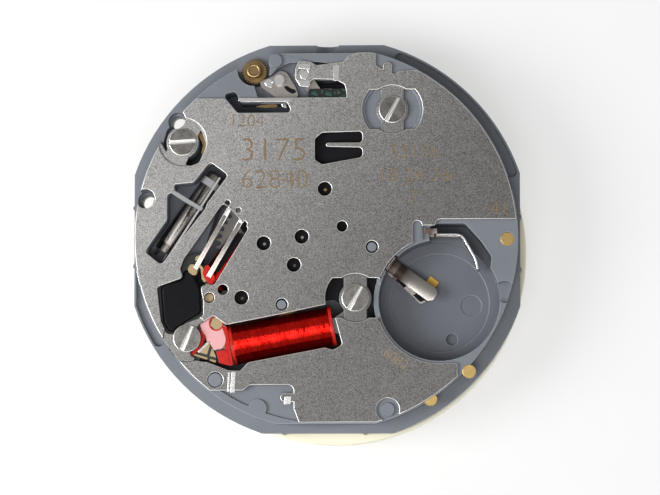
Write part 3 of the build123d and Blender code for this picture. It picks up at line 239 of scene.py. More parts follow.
def plate_steel():
    """Satin stamped steel with a speckled grain, painted light brighter at the upper left, painted
    highlights on its rims.
    """
    finish = Finish("plate_steel", (0.14, 0.136, 0.13), 0.46, metallic=1.0)
    grain = finish.noise(0.06 * MM, 2.0, 0.75)
    coarse = finish.noise(0.6 * MM, 3.0)
    tone = (grain - 0.5) * 3.6 + (coarse - 0.5) * 0.3 + 0.5
    tone = tone.ramp(0.0, 1.0)
    x, y, z = finish.axes()
    # Painted light: a lit and a shaded copy of the steel, lighter towards the upper left
    painted_light_side = (y - x).ramp(-0.9 * CALIBRE, 0.9 * CALIBRE)
    painted_shade_tone = finish.mix(tone, (0.078, 0.076, 0.072), (0.235, 0.231, 0.224))
    bright = finish.mix(tone, (0.18, 0.177, 0.17), (0.48, 0.473, 0.46))
    # Painted highlight on the rounded rim just below the plate's top
    rim = z.between(PLATE_TOP - 0.06 * MM, PLATE_TOP - 0.002 * MM)
    finish.vary("Base Color", finish.mix(rim, finish.mix(painted_light_side * painted_light_side, painted_shade_tone, bright), PAINTED_EDGE_HIGHLIGHT))
    finish.vary("Roughness", grain.ramp(0.3, 0.7) * 0.2 + 0.38)
    return finish.bump(grain, 0.008 * MM)


def screw_steel():
    """Turned screw steel with a mottled face and a painted highlight below it."""
    finish = Finish("screw_steel", (0.3, 0.29, 0.27), 0.36, metallic=1.0)
    grain = finish.noise(0.08 * MM, 4.0, 0.7)
    mottle = finish.noise(0.5 * MM, 2.0)
    tone = ((grain - 0.5) * 1.4 + (mottle - 0.5) * 1.2 + 0.5).ramp(0.0, 1.0)
    face = finish.mix(tone, (0.07, 0.066, 0.061), (0.31, 0.295, 0.275))
    # Painted highlight on the screw's rounded rim below its face
    rim = finish.height().below(SCREW_TOP - 0.002 * MM)
    finish.vary("Base Color", finish.mix(rim, face, PAINTED_EDGE_HIGHLIGHT))
    return finish.bump(grain, 0.008 * MM)


def slate_resin():
    """Blue-grey moulding with painted shade low in its rooms and painted highlights on edges at
    three levels.
    """
    finish = Finish("slate_resin", (0.13, 0.14, 0.165), 0.45)
    grain = finish.noise(0.12 * MM, 3.0)
    cloud = finish.noise(2.4 * MM, 2.0)
    tone = ((grain - 0.5) * 0.4 + (cloud - 0.5) * 0.8 + 0.5).ramp(0.0, 1.0)
    x, y, z = finish.axes()
    # Painted shade: a lit copy of the moulding high up and at the outer rim, a shaded copy low in
    # the rooms
    upper = finish.mix(tone, (0.142, 0.155, 0.18), (0.2, 0.217, 0.245))
    lower = finish.mix(tone, (0.10, 0.109, 0.132), (0.145, 0.157, 0.184))
    outward = (x * x + y * y).combine("SQRT").ramp(10.7 * MM, 11.1 * MM)
    light = z.ramp(2.2 * MM, 2.9 * MM).combine("MAXIMUM", outward)
    # Painted highlights on the rounded edges just below three levels
    well, ledge, top = [z.between(level - 0.03 * MM, level - 0.001 * MM)
                        for level in (WELL_FLOOR, LEDGE_FLOOR, BODY_HEIGHT)]
    painted_edge_highlight = (well + ledge + top) * 0.75
    base = finish.mix(light, lower, upper)
    finish.vary("Base Color", finish.mix(painted_edge_highlight, base, (0.34, 0.37, 0.41)))
    finish.vary("Roughness", grain * 0.2 + 0.34)
    return finish.bump(grain, 0.006 * MM)


def black_resin():
    """Black moulding."""
    finish = Finish("black_resin", (0.008, 0.008, 0.01), 0.42, 0.09)
    grain = finish.noise(0.1 * MM)
    finish.vary("Roughness", grain * 0.3 + 0.3)
    return finish.bump(grain, 0.006 * MM)


def chip_resin():
    """Black resin drop with a faintly rough skin."""
    finish = Finish("chip_resin", (0.004, 0.004, 0.006), 0.3, 0.11)
    skin = finish.noise(0.16 * MM, 5.0, 0.65)
    finish.vary("Base Color", finish.mix(skin, (0.003, 0.003, 0.004), (0.009, 0.009, 0.012)))
    return finish.bump(skin, 0.012 * MM)


def brass():
    """Golden satin brass with painted shade low in the movement, brown in the stamped numbers."""
    finish = Finish("brass", (0.4, 0.27, 0.1), 0.34, metallic=1.0)
    grain = finish.noise(0.1 * MM, 3.0, stretch=(1, 3, 1))
    height = finish.height()
    # Painted shade: a darker copy of the brass low in the movement, a lighter one higher up
    painted_shade_tone = finish.mix(grain, (0.18, 0.118, 0.05), (0.44, 0.30, 0.15))
    bright = finish.mix(grain, (0.37, 0.24, 0.075), (0.62, 0.44, 0.19))
    metal = finish.mix(height.ramp(2.9 * MM, 3.1 * MM), painted_shade_tone, bright)
    stamped = height.above(STAMP_LEVEL)
    finish.vary("Base Color", finish.mix(stamped, metal, (0.31, 0.215, 0.125)))
    return finish.bump(grain, 0.004 * MM)


def soft_iron():
    """Annealed stator iron."""
    finish = Finish("soft_iron", (0.28, 0.28, 0.27), 0.4, metallic=1.0)
    grain = finish.noise(0.2 * MM, 3.0, stretch=(1, 4, 1))
    finish.vary("Roughness", grain * 0.3 + 0.28)
    return finish.bump(grain, 0.004 * MM)


def lacquered_copper():
    """Bright red enamelled wire, its brightness streaked from turn to turn."""
    finish = Finish("lacquered_copper", (0.6, 0.01, 0.007), 0.26, metallic=0.94)
    streak = finish.noise(0.3 * MM, 3.0, 0.7, stretch=(5.0, 0.8, 0.8), turn=-0.184)
    finish.vary("Base Color", finish.mix(streak.ramp(0.3, 0.7), (0.45, 0.006, 0.004),
                                         (0.98, 0.022, 0.012)))
    finish.vary("Roughness", streak * 0.1 + 0.12)
    return finish.bump(streak, 0.004 * MM)


def red_resin():
    """Glossy red lacquer."""
    finish = Finish("red_resin", (0.5, 0.02, 0.015), 0.28, 0.2)
    cloud = finish.noise(0.3 * MM)
    finish.vary("Base Color", finish.mix(cloud, (0.34, 0.008, 0.007), (0.72, 0.03, 0.02)))
    return finish.bump(cloud, 0.006 * MM)


def magnet():
    """Dark sintered magnet."""
    finish = Finish("magnet", (0.1, 0.1, 0.1), 0.45, metallic=0.8)
    grain = finish.noise(0.08 * MM)
    finish.vary("Roughness", grain * 0.3 + 0.3)
    return finish.bump(grain, 0.004 * MM)


def plain_resin(name, colour, roughness, speck=0.12):
    """Resin or film in one colour with a light grain."""
    finish = Finish(name, colour, roughness)
    grain = finish.noise(0.12 * MM)
    low = tuple(part * (1 - speck) for part in colour)
    high = tuple(min(1.0, part * (1 + speck)) for part in colour)
    finish.vary("Base Color", finish.mix(grain, low, high))
    return finish.bump(grain, 0.004 * MM)


def printed_film(name, colour, line_colour, cell, line, low):
    """Thin circuit film: pads parted by dark lines, dark below a height."""
    finish = Finish(name, colour, 0.36)
    inputs = {"Vector": finish.place(turn=0.5), "Scale": 1 / cell}
    cells = finish.node("ShaderNodeTexVoronoi", 0, inputs, feature="DISTANCE_TO_EDGE")
    cloud = finish.noise(0.8 * MM)
    base = finish.mix(cloud, tuple(part * 0.8 for part in colour), colour)
    pads = cells.ramp(line, line * 1.4) * finish.height().above(low)
    finish.vary("Base Color", finish.mix(pads, line_colour, base))
    return finish.bump(pads, 0.01 * MM)


def can_metal():
    """Drawn can whose long dark and bright streaks are partly its own and partly painted
    reflections.
    """
    finish = Finish("can_metal", (0.4, 0.37, 0.34), 0.26, metallic=1.0)
    # Streaks partly the can's own and partly painted reflections along its length
    streak = finish.noise(0.5 * MM, 4.0, 0.6, stretch=(0.12, 1.6, 1), turn=-1.01)
    fine = finish.noise(0.1 * MM, 3.0)
    tone = ((streak - 0.5) * 3.2 + (fine - 0.5) * 0.5 + 0.42).ramp(0.0, 1.0)
    finish.vary("Base Color", finish.mix(tone, (0.014, 0.012, 0.011), (0.34, 0.32, 0.30)))
    finish.vary("Roughness", streak * 0.2 + 0.24)
    return finish.bump(fine, 0.004 * MM)


def contact_steel():
    """Rolled spring steel with fine lengthwise scratches, a brownish tone near the tongue's root
    and painted shade further along it.
    """
    finish = Finish("contact_steel", (0.42, 0.39, 0.365), 0.3, metallic=1.0)
    scratch = finish.noise(0.12 * MM, 4.0, 0.7, stretch=(5, 0.6, 1), turn=0.9)
    metal = finish.mix(scratch, (0.2, 0.18, 0.165), (0.56, 0.52, 0.485))
    x, y = finish.axes()[:2]
    root, tip = at(TONGUE_ROOT, 0), at(TONGUE_TIP, 0)
    way = (tip - root).normalized()
    along = (x - root.x) * way.x + (y - root.y) * way.y
    # Painted shade along the middle of the tongue, past its root
    painted_shade = along.ramp(0.32 * MM, 0.4 * MM) * along.ramp(1.0 * MM, 0.75 * MM)
    bend = along.above(-0.05 * MM) * along.ramp(0.16 * MM, 0.12 * MM)
    metal = finish.mix(painted_shade * 0.85, metal, (0.13, 0.075, 0.06))
    finish.vary("Base Color", finish.mix(bend * 0.8, metal, (0.34, 0.23, 0.20)))
    finish.vary("Roughness", scratch * 0.25 + 0.22)
    return finish.bump(scratch, 0.005 * MM)


def clear_band():
    """Thin clear band over the can."""
    finish = Finish("clear_band", (0.45, 0.45, 0.46), 0.25)
    haze = finish.noise(0.2 * MM)
    finish.vary("Alpha", haze * 0.3 + 0.45)
    return finish.bump(haze, 0.004 * MM)


def white_metal():
    """Bright polished metal of pins, tabs and wire, also laid as strips of painted highlight."""
    finish = Finish("white_metal", (0.95, 0.94, 0.925), 0.2, metallic=1.0)
    haze = finish.noise(0.1 * MM)
    finish.vary("Roughness", haze * 0.2 + 0.12)
    return finish.bump(haze, 0.0006 * MM)


finishes = {
    "plate_steel": plate_steel(),
    "screw_steel": screw_steel(),
    "slate_resin": slate_resin(),
    "black_resin": black_resin(),
    "chip_resin": chip_resin(),
    "brass": brass(),
    "soft_iron": soft_iron(),
    "lacquered_copper": lacquered_copper(),
    "red_resin": red_resin(),
    "magnet": magnet(),
    "pale_resin": plain_resin("pale_resin", (0.42, 0.42, 0.4), 0.4),
    "cream_resin": plain_resin("cream_resin", (0.98, 0.93, 0.72), 0.45, 0.02),
    "yellow_film": plain_resin("yellow_film", (0.75, 0.42, 0.04), 0.3),
    "tan_film": printed_film("tan_film", (0.46, 0.34, 0.17), (0.010, 0.009, 0.009),
                             cell=1.3 * MM, line=0.05, low=3.045 * MM),
    "pink_film": plain_resin("pink_film", (0.78, 0.40, 0.41), 0.3, 0.10),
    "green_film": printed_film("green_film", (0.012, 0.07, 0.045), (0.003, 0.006, 0.005),
                               cell=0.4 * MM, line=0.16, low=0.0),
    "can_metal": can_metal(),
    "contact_steel": contact_steel(),
    "clear_band": clear_band(),
    "white_metal": white_metal(),
}
slot_of = {part["node"]: part["material_slot"] for part in frame["record"]["subparts"]}
body_of = {node: body for body, nodes in frame["record"]["behaviour"]["bodies"].items()
           for node in nodes}


def dress_cad():
    """Give every CAD node the finish of its slot."""
    for node, piece in frame["nodes"].items():
        for place in piece.material_slots:
            place.material = finishes[slot_of[node]].material


def linked(name, data):
    """New object in the scene."""
    made = bpy.data.objects.new(name, data)
    bpy.context.scene.collection.objects.link(made)
    return made


def converted(source):
    """Plain mesh of an object, which is then removed."""
    graph = bpy.context.evaluated_depsgraph_get()
    mesh = bpy.data.meshes.new_from_object(source.evaluated_get(graph))
    bpy.data.objects.remove(source)
    return mesh


def new_piece(name, mesh, slot, body):
    """Finished piece at the origin, riding on a body."""
    piece = linked(name, mesh)
    mesh.materials.clear()
    mesh.materials.append(finishes[slot].material)
    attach(piece, body)
    return piece


def smooth(mesh, angle=CRISP_FROM):
    """Shade smoothly but for the level faces and edges sharper than an angle."""
    mesh.set_sharp_from_angle(angle=math.radians(angle))
    for face in mesh.polygons:
        face.use_smooth = abs(face.normal.z) < LEVEL_FACE


def shaped(name, form, slot, body, angle=CRISP_FROM):
    """Finished piece from a form, shaded smoothly."""
    mesh = bpy.data.meshes.new(name)
    form.to_mesh(mesh)
    form.free()
    smooth(mesh, angle)
    return new_piece(name, mesh, slot, body)


def edged(node, width, segments=2, clamped=True):
    """Copy of a CAD node with its sharp edges rounded, shown in its place."""
    mesh = frame["nodes"][node].data.copy()
    for label in ("custom_normal", "sharp_face", "sharp_edge"):
        if label in mesh.attributes:
            mesh.attributes.remove(mesh.attributes[label])
    form = bmesh.new()
    form.from_mesh(mesh)
    bmesh.ops.remove_doubles(form, verts=form.verts, dist=MERGE_DISTANCE)
    bmesh.ops.dissolve_limit(form, angle_limit=math.radians(1), verts=form.verts,
                             edges=form.edges)
    if not clamped:
        bmesh.ops.triangulate(form, faces=form.faces)
    edges = [edge for edge in form.edges if len(edge.link_faces) == 2
             and edge.calc_face_angle(0) > math.radians(ROUNDED_FROM)]
    bmesh.ops.bevel(form, geom=edges, offset=width, offset_type="OFFSET", segments=segments,
                    profile=0.5, affect="EDGES", clamp_overlap=clamped, loop_slide=clamped)
    form.to_mesh(mesh)
    form.free()
    smooth(mesh)
    piece = new_piece(node + "_edged", mesh, slot_of[node], body_of[node])
    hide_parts(node)


def winding_tree():
    """Tree that winds one close layer of wire along Z."""
    tree = bpy.data.node_groups.new("close_winding", "GeometryNodeTree")
    sizes = {"Length": "NodeSocketFloat", "Radius": "NodeSocketFloat", "Wire": "NodeSocketFloat",
             "Turns": "NodeSocketFloat", "Finish": "NodeSocketMaterial"}
    for label, kind in sizes.items():
        tree.interface.new_socket(label, in_out="INPUT", socket_type=kind)
    tree.interface.new_socket("Geometry", in_out="OUTPUT", socket_type="NodeSocketGeometry")
    given = tree.nodes.new("NodeGroupInput")
    spiral = tree.nodes.new("GeometryNodeCurveSpiral")
    spiral.inputs["Resolution"].default_value = 40
    wire_ring = tree.nodes.new("GeometryNodeCurvePrimitiveCircle")
    wire_ring.inputs["Resolution"].default_value = 6
    sweep = tree.nodes.new("GeometryNodeCurveToMesh")
    sweep.inputs["Fill Caps"].default_value = True
    realize = tree.nodes.new("GeometryNodeRealizeInstances")
    painted = tree.nodes.new("GeometryNodeSetMaterial")
    result = tree.nodes.new("NodeGroupOutput")
    links = ((given, "Length", spiral, "Height"), (given, "Radius", spiral, "Start Radius"),
             (given, "Radius", spiral, "End Radius"), (given, "Turns", spiral, "Rotations"),
             (given, "Wire", wire_ring, "Radius"), (spiral, "Curve", sweep, "Curve"),
             (wire_ring, "Curve", sweep, "Profile Curve"), (sweep, "Mesh", realize, "Geometry"),
             (realize, "Geometry", painted, "Geometry"), (given, "Finish", painted, "Material"),
             (painted, "Geometry", result, "Geometry"))
    for source, outlet, target, inlet in links:
        tree.links.new(source.outputs[outlet], target.inputs[inlet])
    return tree


def grown(tree, values):
    """Plain mesh made by a node tree with the given named inputs."""
    base = linked("seed", bpy.data.meshes.new("seed"))
    modifier = base.modifiers.new("grow", "NODES")
    modifier.node_group = tree
    for item in tree.interface.items_tree:
        if item.in_out == "INPUT":
            modifier[item.identifier] = values[item.name]
    return converted(base)


def winding(name, ends, height, radius, wire, flange, node):
    """Dense outer layer of a coil between its flanges, shown in place of a CAD node."""
    start, end = at(ends[0], height), at(ends[1], height)
    along = end - start
    length = along.length - 2 * flange
    mesh = grown(winding_tree(), {"Length": length - 2 * wire, "Radius": radius, "Wire": wire,
                                  "Turns": (length - 2 * wire) / (PITCH * wire),
                                  "Finish": finishes["lacquered_copper"].material})
    turn = along.to_track_quat("Z", "Y").to_matrix().to_4x4()
    mesh.transform(Matrix.Translation(start + along.normalized() * (flange + wire)) @ turn)
    smooth(mesh, ROUND_CRISP_FROM)
    piece = new_piece(name, mesh, "lacquered_copper", "movement")
    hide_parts(node)


def digits(name, marks, slot):
    """Shallow plain numbers stamped on the plate, as one piece."""
    form = bmesh.new()
    lift = Vector((0, 0, 0.001 * MM))
    for text, place, size, turn in marks:
        curve = bpy.data.curves.new("mark", "FONT")
        curve.body = text
        curve.size = size
        curve.offset = -0.02 * size
        curve.extrude = 0.002 * MM
        curve.resolution_u = 3
        curve.align_x = "CENTER"
        curve.align_y = "CENTER"
        mesh = converted(linked("mark", curve))
        mesh.transform(Matrix.Translation(place + lift) @ Matrix.Rotation(turn, 4, "Z"))
        form.from_mesh(mesh)
        bpy.data.meshes.remove(mesh)
    mesh = bpy.data.meshes.new(name)
    form.to_mesh(mesh)
    form.free()
    new_piece(name, mesh, slot, "movement")


def softened(points, radius, closed=True, steps=4):
    """Corners of a run of points rounded off."""
    count = len(points)
    places = []
    for place, point in enumerate(points):
        if not closed and place in (0, count - 1):
            places.append(point)
            continue
        before = points[place - 1] - point
        after = points[(place + 1) % count] - point
        start = point + before.normalized() * min(radius, before.length * 0.45)
        end = point + after.normalized() * min(radius, after.length * 0.45)
        for step in range(steps + 1):
            share = step / steps
            places.append(start * (1 - share) ** 2 + point * 2 * share * (1 - share)
                          + end * share ** 2)
    return places


def circle(middle, radius, count):
    """Points evenly round a middle, level with it."""
    turns = [2 * math.pi * step / count for step in range(count)]
    return [middle + Vector((math.cos(turn), math.sin(turn), 0)) * radius for turn in turns]


def ring(column, row, radius, height):
    """Points on a circle round a column and row of the picture."""
    return circle(seen(column, row, height), radius, RING_STEPS)


def wall(form, first, second):
    """Faces between two closed runs of as many corners."""
    for place in range(len(first)):
        after = (place + 1) % len(first)
        form.faces.new((first[place], first[after], second[after], second[place]))


def panel(name, spots, thickness, slot, body="movement", edge=0.02 * MM):
    """Thin piece below its outline, its upper edges rounded."""
    form = bmesh.new()
    upper = [form.verts.new(spot) for spot in spots]
    lower = [form.verts.new(spot - Vector((0, 0, thickness))) for spot in spots]
    form.faces.new(upper)
    form.faces.new(lower)
    wall(form, upper, lower)
    bmesh.ops.recalc_face_normals(form, faces=form.faces)
    rims = [rim for rim in form.edges if all(vertex in upper for vertex in rim.verts)]
    bmesh.ops.bevel(form, geom=rims, offset=edge, offset_type="OFFSET", segments=2,
                    profile=0.5, affect="EDGES", clamp_overlap=True)
    shaped(name, form, slot, body)


def patch(name, marks, height, thickness, slot, corner=0.08 * MM, edge=0.02 * MM,
          body="movement"):
    """Panel whose outline is given in columns and rows of the picture."""
    spots = softened([seen(column, row, height) for column, row in marks], corner)
    panel(name, spots, thickness, slot, body, edge)


def finger_cover(name, start, end, wide):
    """Polished top of a bent finger, sloping and widening from its root to its tip."""
    first, last = at(start, FINGER_ROOT), at(end, FINGER_TIP)
    along = last - first
    gap = 0.12
    first += along * gap
    aside = Vector((-along.y, along.x, 0)).normalized() * wide / 2
    taper = 0.7
    spots = [first - aside * taper, last - aside, last + aside, first + aside * taper]
    panel(name, spots, thickness=0.02 * MM, slot="contact_steel", edge=0.006 * MM)


def tube(name, path, radius, slot, body):
    """Round wire bent along a path."""
    curve = bpy.data.curves.new(name, "CURVE")
    curve.dimensions = "3D"
    line = curve.splines.new("POLY")
    line.points.add(len(path) - 1)
    for point, spot in zip(line.points, path):
        point.co = (*spot, 1)
    curve.bevel_depth = radius
    curve.bevel_resolution = 3
    curve.use_fill_caps = True
    mesh = converted(linked(name, curve))
    smooth(mesh, ROUND_CRISP_FROM)
    new_piece(name, mesh, slot, body)


def turned(name, place, profile, slot, body):
    """Piece turned on a lathe about an upright axis, closed at both ends."""
    form = bmesh.new()
    rings = [[form.verts.new(spot) for spot in circle(at(place, height), radius, LATHE_STEPS)]
             for radius, height in profile]
    for low, high in zip(rings, rings[1:]):
        wall(form, low, high)
    form.faces.new(rings[-1])
    form.faces.new(list(reversed(rings[0])))
    bmesh.ops.recalc_face_normals(form, faces=form.faces)
    shaped(name, form, slot, body, ROUND_CRISP_FROM)


def shown_white(tree, lit, white, share, output):
    """Mix a white surface into a lit one for what looks at it, not for its light."""
    ray = tree.nodes.new("ShaderNodeLightPath")
    seen_by = ray.outputs["Is Camera Ray"]
    for label in ("Is Glossy Ray", "Is Transmission Ray"):
        either = tree.nodes.new("ShaderNodeMath")
        either.operation = "MAXIMUM"
        tree.links.new(seen_by, either.inputs[0])
        tree.links.new(ray.outputs[label], either.inputs[1])
        seen_by = either.outputs[0]
    part = tree.nodes.new("ShaderNodeMath")
    part.operation = "MULTIPLY"
    part.inputs[1].default_value = share
    tree.links.new(seen_by, part.inputs[0])
    choice = tree.nodes.new("ShaderNodeMixShader")
    tree.links.new(part.outputs[0], choice.inputs[0])
    tree.links.new(lit.outputs[0], choice.inputs[1])
    tree.links.new(white.outputs[0], choice.inputs[2])
    tree.links.new(choice.outputs[0], output.inputs["Surface"])


def stage():
    """Pale floor just below the cap, and plain white surroundings."""
    low = cad_box[0][2] - FLOOR_GAP
    half = FLOOR_HALF
    floor_mesh = bpy.data.meshes.new("floor")
    corners = [(-half, -half, low), (half, -half, low), (half, half, low), (-half, half, low)]
    floor_mesh.from_pydata(corners, [], [(0, 1, 2, 3)])
    floor = linked("floor", floor_mesh)
    pale = Finish("floor_white", (0.9, 0.9, 0.9), 0.9)
    grain = pale.noise(3 * MM)
    pale.vary("Base Color", pale.mix(grain, (0.88, 0.88, 0.88), (0.92, 0.92, 0.925)))
    glow = pale.tree.nodes.new("ShaderNodeEmission")
    glow.inputs["Strength"].default_value = 1.0
    shown_white(pale.tree, pale.shader, glow, FLOOR_WHITE, pale.tree.nodes["Material Output"])
    floor_mesh.materials.append(pale.material)
    world = bpy.data.worlds.new("surroundings")
    bpy.context.scene.world = world
    world.use_nodes = True
    light = world.node_tree.nodes["Background"]
    light.inputs["Color"].default_value = (1, 1, 1, 1)
    light.inputs["Strength"].default_value = SURROUNDINGS


def lamp(name, spot, size, power):
    """Square soft lamp aimed at the movement."""
    data = bpy.data.lights.new(name, "AREA")
    data.size = size
    data.energy = power
    piece = linked(name, data)
    piece.location = spot
    piece.rotation_euler = (-Vector(spot)).to_track_quat("-Z", "Y").to_euler()


def camera():
    """Long lens almost straight above, leaning over the lower right."""
    lean = Vector((LEAN_RIGHT, -LEAN_DOWN, 1.0)).normalized()
    target = Vector(CAMERA_TARGET) * MM
    data = bpy.data.cameras.new("camera")
    data.sensor_width = SENSOR_WIDTH
    data.lens = data.sensor_width * PIXELS_PER_MM / MM * CAMERA_DISTANCE / PICTURE_WIDTH
    data.clip_start = 0.005
    data.clip_end = 5
    piece = linked("camera", data)
    forward = -lean
    right = forward.cross(Vector((0, 1, 0))).normalized()
    upward = right.cross(forward)
    turn = Matrix((right, upward, -forward)).transposed().to_4x4()
    piece.matrix_world = Matrix.Translation(target + lean * CAMERA_DISTANCE) @ turn
    bpy.context.scene.camera = piece


bpy.context.scene.view_settings.view_transform = "Standard"
dress_cad()

# Rounded edges on the sheet and moulded forms
edged("back_plate", 0.045 * MM, clamped=False)
edged("main_plate", 0.03 * MM, clamped=False)
edged("plate_screws", 0.045 * MM, clamped=False)
edged("crystal_can", 0.02 * MM)
edged("potting", 0.14 * MM, segments=3, clamped=False)
edged("storage_cap", 0.08 * MM)
edged("minus_tongue", 0.03 * MM, clamped=False)
edged("minus_foot", 0.015 * MM)
edged("plus_blade", 0.02 * MM)
edged("brass_pins", 0.03 * MM)
edged("train_bridge", 0.03 * MM)
edged("circuit_board", 0.01 * MM)

# The coil's wound layer, the numbers on the plate and the corrector's hub
winding("main_winding", COIL_ENDS, COIL_HEIGHT, COIL_RADIUS, COIL_WIRE, COIL_FLANGE,
        "coil_outer_layer")
marks = []
for text, column, row, tall, turn in (
        ("1204", 247, 121, 1.05, -0.05), ("3175", 274, 151, 2.0, 0.0),
        ("62840", 275, 180, 1.6, 0.0), ("53106", 414, 153, 1.15, 0.0),
        ("18 24 36", 414, 176, 1.2, 0.0), ("7", 413.5, 198, 1.05, 0.0),
        ("41", 498, 210, 1.15, 0.05), ("6082", 395, 358, 0.8, -0.62)):
    marks.append((text, seen(column, row, PLATE_TOP), tall * MM, turn))
digits("plate_numbers", marks, "brass")
turned("corrector_hub", CORRECTOR,
       [(0.47 * MM, 2.62 * MM), (0.47 * MM, 2.78 * MM), (0.455 * MM, 2.83 * MM),
        (0.41 * MM, 2.87 * MM), (0.33 * MM, 2.89 * MM), (0.27 * MM, 2.875 * MM),
        (0.25 * MM, 2.86 * MM), (0.06 * MM, 2.86 * MM)],
       "brass", "corrector_wheel_body")

# Film, pads, lacquer and solder at the coil's head
patch("solder_film", [(200, 321), (208, 317), (217, 314), (222.6, 320), (223, 327), (227, 338),
                      (225, 346), (220, 349), (213, 345), (208.6, 336.6), (203, 331)],
      height=3.06 * MM, thickness=0.05 * MM, slot="pink_film", corner=0.2 * MM)
panel("film_ring", ring(217, 322.6, 0.44 * MM, 3.08 * MM), 0.03 * MM, "red_resin")
panel("film_pad", ring(217, 322.6, 0.36 * MM, 3.09 * MM), 0.02 * MM, "tan_film")
patch("lacquer_patch", [(217, 350.7), (226.8, 348), (229, 352), (231, 364.7), (219.8, 362)],
      height=3.05 * MM, thickness=0.08 * MM, slot="red_resin")
patch("lacquer_edge", [(201, 328), (204.5, 329), (206.5, 337), (202, 347), (193, 355), (191, 353),
                       (198.5, 345), (202.5, 336.6)],
      height=3.05 * MM, thickness=0.05 * MM, slot="red_resin")
patch("solder_line", [(198.5, 350), (207, 341.5), (210, 340), (210.5, 342), (206, 346.5),
                      (200, 352)],
      height=3.07 * MM, thickness=0.04 * MM, slot="white_metal")

# Pads and lacquer in the finger opening
patch("upper_pad", [(196, 256.5), (199.5, 254.5), (204, 254), (204.5, 258), (201, 263), (196, 263)],
      height=3.19 * MM, thickness=0.03 * MM, slot="tan_film")
patch("lower_pad", [(188.5, 268), (191, 263.5), (194.5, 262.5), (195, 266), (198.5, 267.5),
                    (197.5, 274), (193, 275), (189.5, 272)],
      height=3.19 * MM, thickness=0.03 * MM, slot="tan_film")
patch("lead_lacquer", [(203, 272), (206, 265), (209, 264), (213, 270), (215.8, 277), (213, 284),
                       (208.5, 282), (204.5, 277)],
      height=3.2 * MM, thickness=0.05 * MM, slot="red_resin")

# Painted highlights as white strips on the plate's bends at its lower and left edges
patch("bent_line", [(229.3, 371), (231.2, 371), (230.2, 390), (228.3, 390)],
      height=3.45 * MM, thickness=0.03 * MM, slot="white_metal", corner=0.02 * MM, edge=0.008 * MM)
patch("bent_band", [(232.5, 370.5), (236.8, 370.5), (235.6, 391), (231.3, 391)],
      height=3.46 * MM, thickness=0.04 * MM, slot="white_metal", corner=0.02 * MM, edge=0.008 * MM)
patch("left_strip", [(137.6, 270), (139.6, 270), (143, 284), (141, 284)],
      height=3.42 * MM, thickness=0.03 * MM, slot="white_metal", corner=0.02 * MM, edge=0.008 * MM)

# Further pads, a black sheet of painted shade over the second coil and the polished finger tops
panel("hole_pad", ring(210, 297, 0.25 * MM, 3.07 * MM), 0.04 * MM, "tan_film")
patch("corner_pad", [(194, 354), (205, 346.5), (210.5, 342.5), (214, 349), (217.5, 357),
                     (216.5, 362), (206, 358)],
      height=3.06 * MM, thickness=0.03 * MM, slot="tan_film")
patch("pad_edge", [(199, 262), (204, 267), (205, 276), (208, 282), (214.5, 284.5), (214, 286),
                   (207, 284.5), (202.5, 278.5), (201.5, 268.5), (198, 264)],
      height=3.18 * MM, thickness=0.03 * MM, slot="tan_film", corner=0.03 * MM)
# Black sheet as painted shade over the dark second coil under the plate
patch("second_coil_shade", [(238, 231), (243.5, 236), (232, 253), (219, 272), (215, 270), (226, 252)],
      height=2.95 * MM, thickness=0.04 * MM, slot="black_resin")
finger_cover("left_finger_top", (-0.468, 0.144), (-0.635, -0.15), 0.27 * MM)
finger_cover("right_finger_top", (-0.395, 0.11), (-0.571, -0.19), 0.29 * MM)

# Tabs, hook and lever marks in the setting corner
patch("yoke_tab_upper", [(299.3, 64.2), (300.8, 63.4), (310.8, 64.4), (310.3, 69.6), (299, 68.8)],
      height=3.44 * MM, thickness=0.05 * MM, slot="white_metal", corner=0.05 * MM)
patch("yoke_tab_lower", [(296.8, 80.6), (309.6, 80.2), (310.4, 85.6), (308.5, 87.4), (300.4, 86.4)],
      height=3.44 * MM, thickness=0.05 * MM, slot="white_metal", corner=0.05 * MM)
patch("arm_step", [(333, 65.8), (339.3, 65), (338.8, 81.2), (333.4, 81.2)],
      height=3.43 * MM, thickness=0.04 * MM, slot="white_metal", corner=0.02 * MM)
patch("hook_bit", [(255, 106), (263, 104), (272, 103.4), (277.5, 104), (277, 106.6), (266, 107.2)],
      height=2.4 * MM, thickness=0.08 * MM, slot="brass", corner=0.05 * MM)
patch("hook_drop", [(281, 102.7), (285, 102.5), (287, 106.6), (285.4, 108), (282.6, 106.5)],
      height=2.4 * MM, thickness=0.08 * MM, slot="white_metal", corner=0.05 * MM)
patch("hook_edge", [(238.5, 98.4), (290, 99.6), (290, 101.4), (241, 101.6), (238.6, 100.4)],
      height=3.42 * MM, thickness=0.03 * MM, slot="white_metal", corner=0.03 * MM, edge=0.006 * MM)
patch("lever_slot", [(283.6, 86.3), (286.8, 85.2), (291, 88), (295.6, 89.4), (296.2, 92),
                     (292.4, 93.6), (286.6, 90.4)],
      height=2.77 * MM, thickness=0.02 * MM, slot="black_resin", body="setting_lever_body")
patch("lever_nose", [(264.3, 81.6), (268.6, 77.4), (272.4, 79.6), (272, 87.4), (266.4, 85.8)],
      height=2.78 * MM, thickness=0.03 * MM, slot="white_metal", body="setting_lever_body")

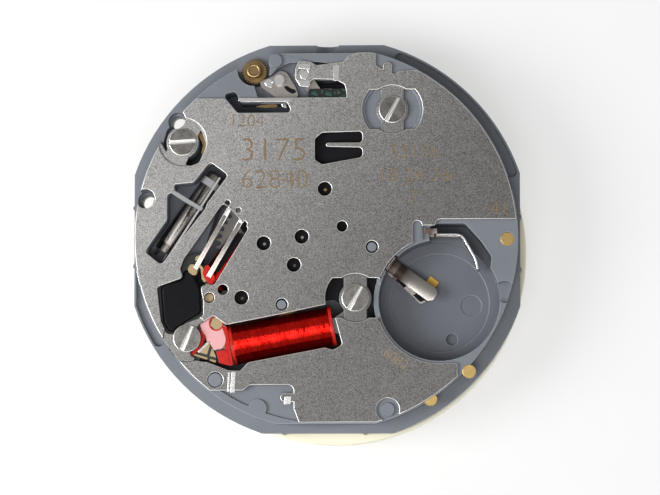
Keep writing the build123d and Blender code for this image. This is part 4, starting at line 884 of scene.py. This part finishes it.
# The plus contact's root and wire, and the top of a pin
patch("plus_root_tab", [(423.6, 228.8), (436, 229), (436, 234.2), (424, 233.8)],
      height=3.42 * MM, thickness=0.03 * MM, slot="contact_steel", corner=0.02 * MM)
tube("plus_wire", softened([seen(436.4, 235.2, 2.98 * MM), seen(460.6, 235.2, 2.98 * MM),
                            seen(474.8, 260.4, 2.98 * MM), seen(476.2, 268.6, 2.98 * MM)],
                           0.35 * MM, closed=False), 0.085 * MM, "white_metal",
     "plus_blade_body")
panel("pin_top", ring(304.3, 75.4, 0.24 * MM, 3.42 * MM), 0.08 * MM, "white_metal")

# Band over the can, white strips of painted highlight on edges and small pieces in the openings
patch("can_strap", [(171.5, 190.4), (175.8, 190.2), (190, 199.2), (204, 207.4), (202, 210.6),
                    (188, 203), (173.2, 193.6)],
      height=3.43 * MM, thickness=0.03 * MM, slot="clear_band", corner=0.05 * MM)
# White strip as a painted highlight along the can's edge
patch("can_edge", [(219.6, 176.6), (221.2, 177.8), (166.6, 262.4), (165, 261.2)],
      height=3.30 * MM, thickness=0.04 * MM, slot="white_metal", corner=0.03 * MM, edge=0.01 * MM)
patch("first_opening_piece", [(194, 128), (200, 130.4), (206.4, 138), (206.6, 144), (204, 153.6),
                              (201.4, 152.6), (203, 144), (199, 136), (193, 131)],
      height=2.9 * MM, thickness=0.06 * MM, slot="brass")
patch("lacquer_neck", [(220.5, 327), (227.5, 325), (229.5, 338), (232, 352), (234, 364),
                       (229.5, 365), (227, 352), (224, 340)],
      height=3.02 * MM, thickness=0.06 * MM, slot="red_resin")
# White top as a painted highlight on the lower tab
patch("lower_tab_top", [(285, 395), (291.8, 394.6), (291.4, 402.4), (284.6, 402.8)],
      height=3.42 * MM, thickness=0.03 * MM, slot="white_metal", corner=0.04 * MM)

# Leaf under the tongue and its dark bends
patch("foot_leaf", [(386.4, 273.3), (396, 281.6), (413.8, 298.2), (420.5, 305), (427, 302.5),
                    (420, 296), (400, 280), (389, 270.5)],
      height=0.85 * MM, thickness=0.09 * MM, slot="contact_steel")
patch("leaf_bend_upper", [(396, 280.6), (404, 288.6), (408, 285.5), (399.5, 277.5)],
      height=0.86 * MM, thickness=0.03 * MM, slot="black_resin", corner=0.02 * MM, edge=0.006 * MM)
patch("leaf_bend_lower", [(413, 295.6), (420.6, 302.6), (425.6, 300.6), (417.6, 293.4)],
      height=0.86 * MM, thickness=0.03 * MM, slot="black_resin", corner=0.02 * MM, edge=0.006 * MM)

stage()
lamp("key", (-0.085, -0.018, 0.090), size=0.06, power=0.105)
lamp("fill", (-0.01, -0.075, 0.20), size=0.10, power=0.15)
camera()
